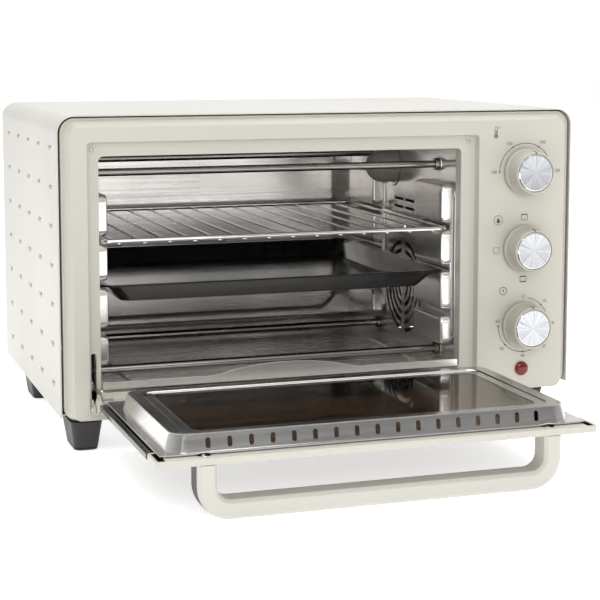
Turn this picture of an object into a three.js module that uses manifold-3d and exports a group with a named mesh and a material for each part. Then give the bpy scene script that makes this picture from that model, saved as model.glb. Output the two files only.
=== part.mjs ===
// Counter-top toaster oven with its door open: a folded steel body, a stamped cooking cavity with
// four heating elements, a drop-down glass door on a sprung hinge, three turning controls, a fan,
// a lamp, a wire rack, a baking tray and a crumb tray.
// Millimetres. X = 0 is the middle of the body, Y = 0 the face of the front panel with +Y towards
// the back, and Z = 0 the surface that the feet stand on. The whole group is then moved along Y so
// that the middle of the open oven is at Y = 0.
import * as THREE from 'three';
import { mergeVertices } from 'three/addons/utils/BufferGeometryUtils.js';
import Module from 'manifold-3d';

const wasm = await Module();
wasm.setup();

// ---- Driving dimensions ----
const gap = 0.3;

// Body
const bodyHalfWidth = 226;
const bodyTop = 270;
const bodyBottom = 28;
const bodyFront = 5.5;
const bodyRear = 298;
const bodySheet = 1.2;
const bodyCorner = 14;
const rearPanelFront = bodyRear - 1.5;
const gland = { x: 150, z: 60 };
const glandRear = 304;

// Front panel
const panelHalfWidth = 223;
const panelTop = 267.8;
const panelBottom = 24.4;
const panelEdge = 6.9;
const panelEdgeDepth = 7.6;
const panelDepth = 14;
const panelSheet = 2.2;
const seat = { left: -203, right: 134.2, bottom: 31, top: 248.7, depth: 6.5 };
const mouth = { left: -192.7, right: 121.5, bottom: 46, top: 237.1, depth: 17.7 };
const hingeSlot = { left: -203, right: -196.4, bottom: 31.6, top: 78.6 };

// Cooking cavity
const cavityMiddle = -35.6;
const cavityHalfWidth = 159.5;
const cavityFront = 18.2;
const cavityRear = 285;
const cavityFloor = 47.9;
const cavityTop = 238.4;
const linerSheet = 1;
const padBase = 3.5;
const padHeight = 12;
const padBottom = 64;
const padTop = 205;
const padSpans = [[22, 88], [187, 259]];
const shelfGrooves = [[89, 95], [128.4, 134], [164.6, 170.6]];
const fan = { y: 141, z: 99 };
const lamp = { y: 166, z: 211, radius: 15.5 };

// Heating elements: name, Y, Z
const elementRadius = 3.25;
const collarRadius = 5.5;
const elementPlaces = [
  ['upper_front_element', 60, 220],
  ['upper_rear_element', 215, 220],
  ['lower_front_element', 57, 55],
  ['lower_rear_element', 200, 55],
];

// Controls
const controlX = 179.2;
const controls = [
  { name: 'temperature', z: 216.3, body: 'thermostat', size: [38, 24, 38] },
  { name: 'mode', z: 149.4, body: 'mode_switch', size: [34, 28, 34] },
  { name: 'timer', z: 82.3, body: 'timer_unit', size: [46, 34, 50] },
];
const knobHeight = 20.2;
const knobBaseRadius = 20.5;
const knobFrontRadius = 18;
const capRadius = 16;
const shaftRadius = 3;
const indicator = { x: 178, z: 43.7, radius: 6.2 };

// Door, drawn lying open; it turns about a line along X
const door = { left: -202, right: 133.2, front: -218, under: 41, pivotY: -6.5, pivotZ: 36.2 };
const railRear = -190.5;
const glassRear = -30;
const glassThickness = 4;
const flange = { left: -197, right: 128.2, front: -208, rear: -31, bottom: 46.3, thickness: 1.2 };
const dishFoot = { left: -190.5, right: 118, front: -206.5, rear: -50 };
const dishCrown = { left: -187, right: 114.5, front: -204, rear: -54 };
const dishTop = 60.5;
const viewPane = { left: -169, right: 97, front: -191, rear: -72 };
const ventCount = 17;
const ventFirst = -162;
const ventPitch = 15.65;
const handle = { left: -172.5, right: 104, front: -218, rear: -198, bottom: 1.2, bar: 14, corner: 24 };
const handleScrewY = -206.5;
const handleScrewX = [handle.left + 7, handle.right - 7];

// Hinge: the drive pin stands 45 degrees up and forward of the pivot when the door lies open
const drivePinArm = 15.1;
const drivePin = {
  y: door.pivotY - drivePinArm * Math.SQRT1_2,
  z: door.pivotZ + drivePinArm * Math.SQRT1_2,
};
const pivotRadius = 1.8;
const spring = { x: -208.8, z: 50, front: 18.4, rear: 115, radius: 3.5 };

// Shelves
const rack = { halfWidth: 154.5, front: 22, rear: 268, z: 167, frameRadius: 2, wireRadius: 1.25 };
const rackWires = 14;
const rackWirePitch = 21.2;
const tray = { front: 25, rear: 272, rimHalfWidth: 151.5, wallHalfWidth: 145, top: 130.3 };
const trayFloor = 114;
const trayMiddle = -35;
const crumb = { left: -165, right: 92, rear: 218, floor: 48.3, rim: 51.2, lipY: 7.5, lipTop: 54 };

// Feet: left edge at the top, and front edge
const footSize = { width: 26.8, depth: 47, taper: 3.6, height: 24.1 };
const footPlaces = [
  ['front_left_foot', -218.7, 3],
  ['rear_left_foot', -218.7, 205],
  ['front_right_foot', 175.5, 3],
  ['rear_right_foot', 175.5, 205],
];

// ---- Finishes ----
const finish = (color, roughness, metalness) =>
  new THREE.MeshStandardMaterial({ color, roughness, metalness });
const creamPaint = finish(0xded9d0, 0.45, 0.1);
const brightSteel = finish(0xc9c7c3, 0.25, 0.95);
const galvanised = finish(0xaaaaa8, 0.45, 0.85);
const aluminised = finish(0xd5d3ce, 0.3, 0.9);
const darkGlass = finish(0x2a2724, 0.05, 0.0);
const clearGlass = finish(0xdfe6e6, 0.05, 0.0);
const blackEnamel = finish(0x1c1c1e, 0.3, 0.2);
const blackPlastic = finish(0x1b1b18, 0.6, 0.0);
const creamPlastic = finish(0xc9c4b8, 0.5, 0.0);
const spunAluminium = finish(0xc8c8c8, 0.3, 0.9);
const redLens = finish(0xb01414, 0.2, 0.0);
const ceramic = finish(0xe6e0d4, 0.7, 0.0);
const brownBoard = finish(0x8a6a48, 0.8, 0.0);

// ---- Shapes ----
const oven = new THREE.Group();

function place(name, geometry, material) {
  const mesh = new THREE.Mesh(geometry, material);
  mesh.name = name;
  oven.add(mesh);
}

function solid(geometry) {
  const bare = geometry.clone();
  bare.deleteAttribute('normal');
  bare.deleteAttribute('uv');
  const merged = mergeVertices(bare, 1e-4);
  return new wasm.Manifold(new wasm.Mesh({
    numProp: 3,
    vertProperties: new Float32Array(merged.attributes.position.array),
    triVerts: new Uint32Array(merged.index.array),
  }));
}

function surface(manifold) {
  const mesh = manifold.getMesh();
  const geometry = new THREE.BufferGeometry();
  geometry.setAttribute('position', new THREE.BufferAttribute(mesh.vertProperties, 3));
  geometry.setIndex(new THREE.BufferAttribute(mesh.triVerts, 1));
  geometry.computeVertexNormals();
  return geometry;
}

const join = (...pieces) => pieces.reduce((whole, piece) => whole.add(piece));
const cut = (whole, ...tools) => tools.reduce((rest, tool) => rest.subtract(tool), whole);

// A block between two corners
function block(x0, y0, z0, x1, y1, z1) {
  const geometry = new THREE.BoxGeometry(x1 - x0, y1 - y0, z1 - z0);
  return solid(geometry.translate((x0 + x1) / 2, (y0 + y1) / 2, (z0 + z1) / 2));
}

// An outline with round corners, from one corner to the opposite one
function roundedOutline(a0, b0, a1, b1, radius) {
  const outline = new THREE.Shape();
  outline.moveTo(a0 + radius, b0);
  outline.lineTo(a1 - radius, b0);
  outline.absarc(a1 - radius, b0 + radius, radius, -Math.PI / 2, 0, false);
  outline.lineTo(a1, b1 - radius);
  outline.absarc(a1 - radius, b1 - radius, radius, 0, Math.PI / 2, false);
  outline.lineTo(a0 + radius, b1);
  outline.absarc(a0 + radius, b1 - radius, radius, Math.PI / 2, Math.PI, false);
  outline.lineTo(a0, b0 + radius);
  outline.absarc(a0 + radius, b0 + radius, radius, Math.PI, Math.PI * 1.5, false);
  return outline;
}

const polygon = (points) => new THREE.Shape(points.map(([a, b]) => new THREE.Vector2(a, b)));

// Turn a geometry that is extruded along its own Z so that the extrusion runs along X, Y or Z
const towards = {
  x: new THREE.Matrix4().makeBasis(
    new THREE.Vector3(0, 1, 0), new THREE.Vector3(0, 0, 1), new THREE.Vector3(1, 0, 0)),
  y: new THREE.Matrix4().makeBasis(
    new THREE.Vector3(1, 0, 0), new THREE.Vector3(0, 0, 1), new THREE.Vector3(0, -1, 0)),
  z: new THREE.Matrix4(),
};

// An outline made into a slab from one place to another along an axis. The outline's two
// coordinates are Y and Z along X, X and Z along Y, and X and Y along Z.
function slab(outline, axis, from, to, curveSegments = 2) {
  const geometry = new THREE.ExtrudeGeometry(outline, {
    depth: to - from, bevelEnabled: false, curveSegments,
  });
  geometry.applyMatrix4(towards[axis]);
  const shift = { x: [from, 0, 0], y: [0, to, 0], z: [0, 0, from] }[axis];
  return solid(geometry.translate(...shift));
}

// A straight-sided solid between two outlines with the same number of points. Along Y the first
// outline is the front one.
function loft(first, second, axis, from, to, curveSegments = 2) {
  const start = (axis === 'y' ? second : first).getPoints(curveSegments);
  const end = (axis === 'y' ? first : second).getPoints(curveSegments);
  const depth = to - from;
  const geometry = new THREE.ExtrudeGeometry(new THREE.Shape(start), { depth, bevelEnabled: false });
  const positions = geometry.attributes.position;
  for (let i = 0; i < positions.count; i += 1) {
    if (positions.getZ(i) > depth / 2) {
      const here = new THREE.Vector2(positions.getX(i), positions.getY(i));
      const match = start.findIndex((point) => point.distanceTo(here) < 1e-3);
      positions.setXY(i, end[match].x, end[match].y);
    }
  }
  geometry.applyMatrix4(towards[axis]);
  const shift = { x: [from, 0, 0], y: [0, to, 0], z: [0, 0, from] }[axis];
  return solid(geometry.translate(...shift));
}

// A turned piece about a line along X, Y or Z. The profile's points are radius and place along it,
// listed either way round.
function turned(profile, axis, x, y, z, segments = 16) {
  const points = profile.map(([radius, along]) => new THREE.Vector2(radius, along));
  if (THREE.ShapeUtils.area(points) < 0) points.reverse();
  const geometry = new THREE.LatheGeometry(points, segments);
  if (axis === 'x') geometry.rotateZ(-Math.PI / 2);
  if (axis === 'z') geometry.rotateX(Math.PI / 2);
  return solid(geometry.translate(x, y, z));
}

// A round bar from one place to another along an axis; a and b are its two other coordinates
function bar(axis, radius, from, to, a, b, segments = 10) {
  const geometry = new THREE.CylinderGeometry(radius, radius, to - from, segments);
  if (axis === 'x') geometry.rotateZ(-Math.PI / 2);
  if (axis === 'z') geometry.rotateX(Math.PI / 2);
  const middle = (from + to) / 2;
  const at = { x: [middle, a, b], y: [a, middle, b], z: [a, b, middle] }[axis];
  return solid(geometry.translate(...at));
}

const grown = (box, by) => [box.left - by, box.bottom - by, box.right + by, box.top + by];

// ---- Body ----
function outerWrap() {
  const inside = bodyHalfWidth - bodySheet;
  const arch = (half, top, corner) => {
    const outline = new THREE.Shape();
    outline.moveTo(-half, bodyBottom);
    outline.lineTo(half, bodyBottom);
    outline.lineTo(half, top - corner);
    outline.absarc(half - corner, top - corner, corner, 0, Math.PI / 2, false);
    outline.lineTo(corner - half, top);
    outline.absarc(corner - half, top - corner, corner, Math.PI / 2, Math.PI, false);
    return outline;
  };
  const outer = slab(arch(bodyHalfWidth, bodyTop, bodyCorner), 'y', bodyFront, bodyRear, 3);
  const innerCorner = bodyCorner - bodySheet;
  const inner = slab(arch(inside, bodyTop - bodySheet, innerCorner), 'y', 0, bodyRear + 5, 3);
  const below = block(-inside, 0, bodyBottom - 5, inside, bodyRear + 5, bodyBottom + 5);
  return surface(cut(outer, inner, below));
}

function rearPanel() {
  const half = bodyHalfWidth - bodySheet - gap;
  const outline = roundedOutline(-half, bodyBottom + 1.6, half, bodyTop - bodySheet - gap, 12.5);
  const plate = slab(outline, 'y', rearPanelFront, rearPanelFront + bodySheet);
  const glandHole = bar('y', 7.5, bodyRear - 5, bodyRear + 5, gland.x, gland.z, 16);
  const vents = [];
  for (let column = 0; column < 7; column += 1) {
    const x = -150 + column * 45;
    vents.push(block(x, bodyRear - 5, 215, x + 30, bodyRear + 5, 219));
    vents.push(block(x, bodyRear - 5, 200, x + 30, bodyRear + 5, 204));
  }
  return surface(cut(plate, glandHole, ...vents));
}

function basePlate() {
  const half = bodyHalfWidth - bodySheet - gap;
  const rear = bodyRear - 1.8;
  const plate = block(-half, panelDepth + gap, bodyBottom, half, rear, bodyBottom + 1.2);
  const springAnchor = block(-213, spring.rear + 0.4, bodyBottom, -204, spring.rear + 2, 55);
  return surface(join(plate, springAnchor));
}

function frontPanel() {
  const outside = { left: -panelHalfWidth, right: panelHalfWidth, bottom: 0, top: panelTop };
  const outer = roundedOutline(...grown(outside, 0), 12);
  const face = roundedOutline(...grown(outside, -panelEdge), 6);
  const shell = join(
    loft(face, outer, 'y', 0, panelEdgeDepth),
    slab(outer, 'y', panelEdgeDepth, panelDepth),
  );
  const hollow = slab(roundedOutline(...grown(outside, -panelEdge - 1), 6), 'y', panelSheet, 30);
  const seatWalls = slab(roundedOutline(...grown(seat, 2.2), 4), 'y', 1, seat.depth + panelSheet);
  const seatRecess = slab(roundedOutline(...grown(seat, 0), 2), 'y', -5, seat.depth);
  const mouthLip = slab(roundedOutline(...grown(mouth, 1.6), 5.6), 'y', seat.depth, mouth.depth);
  const mouthHole = slab(roundedOutline(...grown(mouth, 0), 4), 'y', -5, 30);
  const slot = block(hingeSlot.left + 0.01, -5, hingeSlot.bottom, hingeSlot.right, 12, hingeSlot.top);
  const rightSlot = block(130.8, -5, 31.6, 133.2, 12, 43.4);
  const below = block(-300, -5, -50, 300, 40, panelBottom);
  const shaftHoles = controls.map(({ z }) => bar('y', 4.2, -5, 8, controlX, z, 12));
  const lensHole = bar('y', 5.2, -5, 8, indicator.x, indicator.z, 12);
  const formed = join(cut(shell, hollow), seatWalls, mouthLip);
  return surface(cut(
    formed, seatRecess, mouthHole, slot, rightSlot, below, ...shaftHoles, lensHole,
    ...panelScrewPlaces.map(([x, z]) => bar('y', 1.3, 0, 12, x, z, 8)),
  ));
}

const panelScrewPlaces = [[-198, 242.5], [128, 242.5]];

function panelScrew(x, z) {
  const profile = [[0, 0], [1.9, 0], [1.9, 0.9], [1.05, 0.9], [1.05, 8], [0, 8]];
  return surface(turned(profile, 'y', x, seat.depth - 1.2, z, 8));
}

function foot(left, front) {
  const right = left + footSize.width;
  const rear = front + footSize.depth;
  const t = footSize.taper;
  const sole = roundedOutline(left + t, front + t, right - t + 1, rear - t, 3);
  const crown = roundedOutline(left, front, right, rear, 4);
  const pad = loft(sole, crown, 'z', 0, footSize.height, 1);
  const neck = block(left + 5, Math.max(front + 4, panelDepth + 2), footSize.height - 1,
    right - 5, rear - 4, bodyBottom - gap);
  return surface(join(pad, neck));
}

function cordGland() {
  const inside = rearPanelFront - gap;
  const outside = bodyRear;
  const profile = [
    [0, inside - 6], [9, inside - 6], [9, inside], [7, inside], [7, outside], [10, outside],
    [9, glandRear], [3.6, glandRear], [3.6, inside - 1], [0, inside - 1],
  ];
  return surface(turned(profile, 'y', gland.x, 0, gland.z, 16));
}

// ---- Cavity ----
const leftWallX = cavityMiddle - cavityHalfWidth;
const rightWallX = cavityMiddle + cavityHalfWidth;

function cavityLiner() {
  const left = leftWallX + gap;
  const right = rightWallX - gap;
  const floor = cavityFloor - linerSheet;
  const top = cavityTop + linerSheet;
  const rear = cavityRear + linerSheet;
  const outside = roundedOutline(cavityFront, floor, rear, top, 6);
  const inside = roundedOutline(cavityFront + 1, cavityFloor, cavityRear, cavityTop, 5);
  const mouthSide = block(left - 1, 0, cavityFloor, right + 1, cavityFront + 20, cavityTop);
  const frontEdge = join(
    block(left, cavityFront, floor, right, cavityFront + 12, cavityFloor),
    block(left, cavityFront, cavityTop, right, cavityFront + 12, top),
  );
  const folded = cut(slab(outside, 'x', left, right), slab(inside, 'x', left - 1, right + 1));
  return surface(join(cut(folded, mouthSide), frontEdge));
}

// A pad stamped into a side wall: its outside, or the hollow behind it, `height` off the wall
function stamping(side, y0, z0, y1, z1, corner, height, inset) {
  const wall = side < 0 ? leftWallX : rightWallX;
  const outline = roundedOutline(y0 + inset, z0 + inset, y1 - inset, z1 - inset, corner);
  const behind = inset > 0 ? 5 : 0.5;
  const crown = wall - side * (height - inset);
  const back = wall + side * behind;
  return slab(outline, 'x', Math.min(crown, back), Math.max(crown, back), 1);
}

function ledgeSpans() {
  const edges = [padBottom, ...shelfGrooves.flat(), padTop];
  const spans = [];
  for (let i = 0; i < edges.length; i += 2) spans.push([edges[i], edges[i + 1]]);
  return spans;
}

// Half of a ring-shaped slot in the fan grille
function halfRing(side, inner, outer) {
  const web = 4;
  const outline = new THREE.Shape();
  const startOuter = Math.asin(web / outer);
  const startInner = Math.asin(web / inner);
  const turn = side > 0 ? 0 : Math.PI;
  const from = -Math.PI / 2 + turn;
  const to = Math.PI / 2 + turn;
  outline.absarc(fan.y, fan.z, outer, from + startOuter, to - startOuter, false);
  outline.absarc(fan.y, fan.z, inner, to - startInner, from + startInner, true);
  return outline;
}

function sideWall(side) {
  const wall = side < 0 ? leftWallX : rightWallX;
  const outer = wall + side * linerSheet;
  const sheet = block(Math.min(wall, outer), cavityFront, 46, Math.max(wall, outer), 286.5, 240);
  const outsides = [];
  const hollows = [];
  for (const [y0, y1] of padSpans) {
    outsides.push(stamping(side, y0, padBottom, y1, padTop, 12, padBase, 0));
    hollows.push(stamping(side, y0, padBottom, y1, padTop, 11, padBase, linerSheet));
    for (const [z0, z1] of ledgeSpans()) {
      outsides.push(stamping(side, y0 + 1, z0, y1 - 1, z1, 5, padHeight, 0));
      hollows.push(stamping(side, y0 + 1, z0, y1 - 1, z1, 4, padHeight, linerSheet));
    }
  }
  const holes = elementPlaces.map(([, y, z]) =>
    bar('x', collarRadius + gap, wall - 3, wall + 3, y, z, 12));
  if (side > 0) {
    for (let ring = 0; ring < 5; ring += 1) {
      const inner = 8 + ring * 8;
      holes.push(slab(halfRing(1, inner, inner + 4), 'x', wall - 3, wall + 3, 4));
      holes.push(slab(halfRing(-1, inner, inner + 4), 'x', wall - 3, wall + 3, 4));
    }
    holes.push(bar('x', lamp.radius + gap, wall - 3, wall + 3, lamp.y, lamp.z, 16));
  }
  return surface(cut(join(sheet, ...outsides), ...hollows, ...holes));
}

function heatingElement(y, z) {
  const left = leftWallX - 9.4;
  const right = rightWallX + 9.4;
  const collarEnd = 14;
  const profile = [
    [0, left], [1.6, left], [1.6, left + 4], [collarRadius, left + 4],
    [collarRadius, left + collarEnd], [elementRadius, left + collarEnd],
    [elementRadius, right - collarEnd], [collarRadius, right - collarEnd],
    [collarRadius, right - 4], [1.6, right - 4], [1.6, right], [0, right],
  ];
  return surface(turned(profile, 'x', 0, y, z, 10));
}

function lampGlass() {
  const r = lamp.radius;
  const wall = 1.5;
  const profile = [
    [r - wall, 0], [r, 0], [r, 15], [r - 2, 22], [r - 7, 27], [0, 28.5], [0, 27], [r - 8, 25.5],
    [r - 2 - wall, 21], [r - wall, 15], [r - wall, 0],
  ];
  const dome = profile.map(([radius, along]) => [radius, -along]);
  return surface(turned(dome, 'x', rightWallX + 1, lamp.y, lamp.z, 16));
}

function lampBulb() {
  const profile = [[0, 1], [4.5, 1], [4.5, -7], [8, -12], [8, -16], [5, -20], [0, -21]];
  return surface(turned(profile, 'x', rightWallX, lamp.y, lamp.z, 12));
}

function lampSocket() {
  const profile = [[0, 2.4], [18, 2.4], [18, 5], [12, 5], [12, 26], [0, 26]];
  return surface(turned(profile, 'x', rightWallX, lamp.y, lamp.z, 12));
}

function fanRotor() {
  const x = rightWallX + 5;
  const shaft = bar('x', 2.5, x, x + 24, fan.y, fan.z, 10);
  const hub = bar('x', 9, x, x + 9, fan.y, fan.z, 12);
  const blades = [];
  for (let i = 0; i < 6; i += 1) {
    const blade = new THREE.BoxGeometry(8, 32, 1.2);
    blade.translate(x + 4.5, 22, 0);
    blade.rotateX((i * Math.PI) / 3);
    blades.push(solid(blade.translate(0, fan.y, fan.z)));
  }
  return surface(join(shaft, hub, ...blades));
}

function fanMotor() {
  const x = rightWallX + 18;
  const outline = roundedOutline(fan.y - 28, fan.z - 30, fan.y + 28, fan.z + 30, 5);
  const core = slab(outline, 'x', x, x + 18);
  const drum = bar('x', 17, x + 15, x + 32, fan.y, fan.z, 14);
  const bore = bar('x', 2.8, x - 1, x + 14, fan.y, fan.z, 10);
  return surface(cut(join(core, drum), bore));
}

// ---- Controls ----
function knob(z) {
  const back = 1.2;
  const profile = [
    [3.3, -13.5], [3.3, -back], [knobBaseRadius, -back], [knobBaseRadius, -4.5], [19.4, -5.2],
    [knobFrontRadius, -knobHeight + 0.8], [17.2, -knobHeight], [capRadius + gap, -knobHeight],
    [capRadius + gap, -18.6], [0, -18.6], [0, -13.5], [3.3, -13.5],
  ];
  return surface(turned(profile, 'y', controlX, 0, z, 24));
}

function knobCap(z) {
  const profile = [[0, -20.3], [15.4, -20.3], [capRadius, -19.8], [capRadius, -18.9], [0, -18.9]];
  return surface(turned(profile, 'y', controlX, 0, z, 24));
}

function switchBody({ z, size: [width, depth, height] }) {
  const front = 10.8;
  const outline = roundedOutline(
    controlX - width / 2, z - height / 2, controlX + width / 2, z + height / 2, 4);
  const bore = bar('y', shaftRadius + gap, front - 1, front + 9, controlX, z, 10);
  return surface(cut(slab(outline, 'y', front, front + depth, 1), bore));
}

function controlBracket() {
  const plate = block(controlX - 29, 8.8, 52, controlX + 29, 10.4, 244);
  const holes = controls.map(({ z }) => bar('y', 4.2, 5, 15, controlX, z, 12));
  return surface(cut(plate, ...holes));
}

function indicatorLens() {
  const r = indicator.radius;
  const profile = [
    [0, -3.4], [2.6, -3.1], [4.7, -2.1], [r, -0.9], [r, -0.3], [4.8, -0.3], [4.8, 7], [0, 7],
  ];
  return surface(turned(profile, 'y', indicator.x, 0, indicator.z, 16));
}

function indicatorHolder() {
  const profile = [[5.2, 2.6], [7.5, 2.6], [7.5, 22], [0, 22], [0, 7.6], [5.2, 7.6], [5.2, 2.6]];
  return surface(turned(profile, 'y', indicator.x, 0, indicator.z, 12));
}

// ---- Door ----
const doorPocketTop = 46;

function doorTopRail() {
  const rim = 1.4;
  const whole = block(door.left, door.front, door.under, door.right, railRear, doorPocketTop);
  const pocket = block(door.left + rim, door.front + rim, door.under + rim,
    door.right - rim, railRear + 5, doorPocketTop + 5);
  const screwHoles = handleScrewX.map((x) => bar('z', 2.6, 30, 50, x, handleScrewY, 10));
  return surface(cut(whole, pocket, ...screwHoles));
}

function doorOuterGlass() {
  const outline = roundedOutline(door.left, railRear + gap, door.right, glassRear, 1.5);
  return surface(slab(outline, 'z', door.under, door.under + glassThickness, 1));
}

const pivotHole = (x0, x1) => bar('x', pivotRadius + gap, x0, x1, door.pivotY, door.pivotZ, 10);

function doorBottomRail() {
  const left = -196.9;
  const right = 129.7;
  const ear = 1.4;
  const channel = block(left + 0.2, glassRear + gap, door.under, right - 0.2, -10, door.under + 4);
  const cheek = new THREE.Shape();
  cheek.moveTo(-21, 44.2);
  cheek.lineTo(-21, 42.2);
  cheek.absarc(door.pivotY, door.pivotZ, 4.6, Math.PI * 1.25, Math.PI * 2.3, false);
  cheek.lineTo(-11.2, 44.2);
  const bore = new THREE.Path();
  bore.absarc(door.pivotY, door.pivotZ, pivotRadius + gap, 0, Math.PI * 2, true);
  cheek.holes.push(bore);
  const ends = [[left, left + ear], [right - ear, right]].map(([x0, x1]) =>
    slab(cheek, 'x', x0, x1, 5));
  return surface(join(channel, ...ends));
}

const flat = (box, radius, by = 0) =>
  roundedOutline(box.left + by, box.front + by, box.right - by, box.rear - by, radius);

function doorInnerPan() {
  const base = flange.bottom + flange.thickness;
  const wall = 1.2;
  const plate = slab(flat(flange, 3), 'z', flange.bottom, base);
  const dish = loft(flat(dishFoot, 14), flat(dishCrown, 12), 'z', base - 0.01, dishTop);
  const inside = loft(flat(dishFoot, 12.8, wall), flat(dishCrown, 10.8, wall), 'z',
    base - 2, dishTop - wall);
  const pane = slab(flat(viewPane, 8), 'z', dishTop - 5, dishTop + 5);
  const vents = [];
  for (let i = 0; i < ventCount; i += 1) {
    const x = ventFirst + i * ventPitch;
    vents.push(block(x - 1.5, -209, 50, x + 1.5, -200, 57));
  }
  return surface(cut(join(plate, dish), inside, pane, ...vents));
}

function doorInnerGlass() {
  return surface(slab(flat(viewPane, 8, -6), 'z', 55.2, 58.9));
}

function doorHandle() {
  const { left, right, bottom, bar: thick, corner } = handle;
  const armTop = door.under - gap;
  const outline = new THREE.Shape();
  outline.moveTo(left, armTop + 6);
  outline.lineTo(left, bottom + corner);
  outline.absarc(left + corner, bottom + corner, corner, Math.PI, Math.PI * 1.5, false);
  outline.lineTo(right - corner, bottom);
  outline.absarc(right - corner, bottom + corner, corner, Math.PI * 1.5, Math.PI * 2, false);
  outline.lineTo(right, armTop + 6);
  outline.lineTo(right - thick, armTop + 6);
  outline.lineTo(right - thick, bottom + corner);
  outline.absarc(right - corner, bottom + corner, corner - thick, 0, -Math.PI / 2, true);
  outline.lineTo(left + corner, bottom + thick);
  outline.absarc(left + corner, bottom + corner, corner - thick, -Math.PI / 2, -Math.PI, true);
  outline.lineTo(left + thick, armTop + 6);
  const chamfer = 2.5;
  const geometry = new THREE.ExtrudeGeometry(outline, {
    depth: handle.rear - handle.front - 2 * chamfer,
    bevelThickness: chamfer, bevelSize: chamfer, bevelOffset: -chamfer, bevelSegments: 1,
    curveSegments: 3,
  });
  geometry.applyMatrix4(towards.y).translate(0, handle.rear - chamfer, 0);
  const above = block(left - 5, -230, armTop, right + 5, -180, 60);
  const bores = handleScrewX.map((x) => bar('z', 2.3, 26, 50, x, handleScrewY, 10));
  const recesses = [
    block(left - 5, -213.8, 23.8, left + 1.6, -199.2, 50),
    block(right - 1.6, -213.8, 23.8, right + 5, -199.2, 50),
  ];
  return surface(cut(solid(geometry), above, ...bores, ...recesses));
}

function handleInsert(side) {
  const outside = side < 0 ? handle.left : handle.right;
  const inside = outside - side * 1.3;
  return surface(block(Math.min(outside, inside), -213.5, 24.1, Math.max(outside, inside),
    -199.5, door.under - gap));
}

function handleScrew(x) {
  const profile = [[0, 27], [2, 27], [2, 42.8], [4.2, 42.8], [4.2, 44.6], [3, 45.4], [0, 45.4]];
  return surface(turned(profile, 'z', x, handleScrewY, 0, 10));
}

// ---- Hinge ----
function hingeArm() {
  const [x0, x1] = [-200.3, -198.9];
  const outline = polygon([
    [-29.5, 41.4], [-11, 33.2], [-3.4, 39], [-14.6, 49.3], [-19.6, 49.3], [-29.5, 45],
  ]);
  const plate = join(
    slab(outline, 'x', x0, x1),
    bar('x', 4.6, x0, x1, door.pivotY, door.pivotZ, 12),
    bar('x', 3.4, x0, x1, drivePin.y, drivePin.z, 12),
  );
  const tab = block(x0, -29.5, 41.4, -197.2, -26.2, 45);
  const pin = bar('x', 1.5, x0, -188, drivePin.y, drivePin.z, 10);
  return surface(join(cut(join(plate, tab), pivotHole(x0 - 1, x1 + 1)), pin));
}

function hingeBracket(x0, x1, flangeX0, flangeX1) {
  const stem = block(x0, door.pivotY, 32.3, x1, 10.5, 42.6);
  const eye = bar('x', 4, x0, x1, door.pivotY, door.pivotZ + 0.1, 12);
  const ear = block(flangeX0, 9.1, 32.3, flangeX1, 10.5, 43.4);
  const notch = block(x0 - 1, -12, 40.4, x1 + 1, -2, 45);
  return surface(cut(join(stem, eye, ear), notch, pivotHole(x0 - 1, x1 + 1)));
}

function hingePin(head, shankEnd) {
  const outward = Math.sign(head - shankEnd);
  const [x0, x1] = [Math.min(head, shankEnd), Math.max(head, shankEnd)];
  const shank = bar('x', pivotRadius, x0, x1, door.pivotY, door.pivotZ, 10);
  const headStart = head - outward * 1.3;
  const cap = bar('x', 3, Math.min(head, headStart), Math.max(head, headStart),
    door.pivotY, door.pivotZ, 12);
  return surface(join(shank, cap));
}

function hingeLink() {
  const [x0, x1] = [-198.5, -197.3];
  const head = block(x0, drivePin.y - 3.6, 43.8, x1, drivePin.y + 3.6, 54.8);
  const pinSlot = block(x0 - 1, drivePin.y - 2.1, 45.1, x1 + 1, drivePin.y + 2.1, 53.1);
  const strip = block(x0, drivePin.y + 3, 48, x1, 18, 52.5);
  const tail = block(-212.5, 16.5, 46, x1, 18, 54);
  return surface(join(cut(head, pinSlot), strip, tail));
}

// ---- Shelves ----
function wireRack() {
  const left = cavityMiddle - rack.halfWidth + rack.frameRadius;
  const right = cavityMiddle + rack.halfWidth - rack.frameRadius;
  const frame = join(
    bar('x', rack.frameRadius, left - 1, right + 1, rack.front, rack.z, 8),
    bar('x', rack.frameRadius, left - 1, right + 1, rack.rear, rack.z, 8),
    bar('y', rack.frameRadius, rack.front - 1, rack.rear + 1, left, rack.z, 8),
    bar('y', rack.frameRadius, rack.front - 1, rack.rear + 1, right, rack.z, 8),
  );
  const wires = [];
  const first = cavityMiddle - ((rackWires - 1) * rackWirePitch) / 2;
  for (let i = 0; i < rackWires; i += 1) {
    const x = first + i * rackWirePitch;
    wires.push(bar('y', rack.wireRadius, rack.front - 1.6, rack.rear + 1.6, x, rack.z - 2, 6));
  }
  return surface(join(frame, ...wires));
}

function bakingTray() {
  const outline = (half, inset, corner) => roundedOutline(
    trayMiddle - half, tray.front + inset, trayMiddle + half, tray.rear - inset, corner);
  const rim = slab(outline(tray.rimHalfWidth, 0, 12), 'z', tray.top - 1.5, tray.top);
  const body = loft(outline(132, 16, 8), outline(tray.wallHalfWidth, 5, 9), 'z',
    trayFloor, tray.top);
  const hollow = loft(outline(130.8, 17.2, 7), outline(tray.wallHalfWidth - 1.2, 6.2, 8), 'z',
    trayFloor + 1.2, tray.top + 0.5);
  return surface(cut(join(rim, body), hollow));
}

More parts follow.
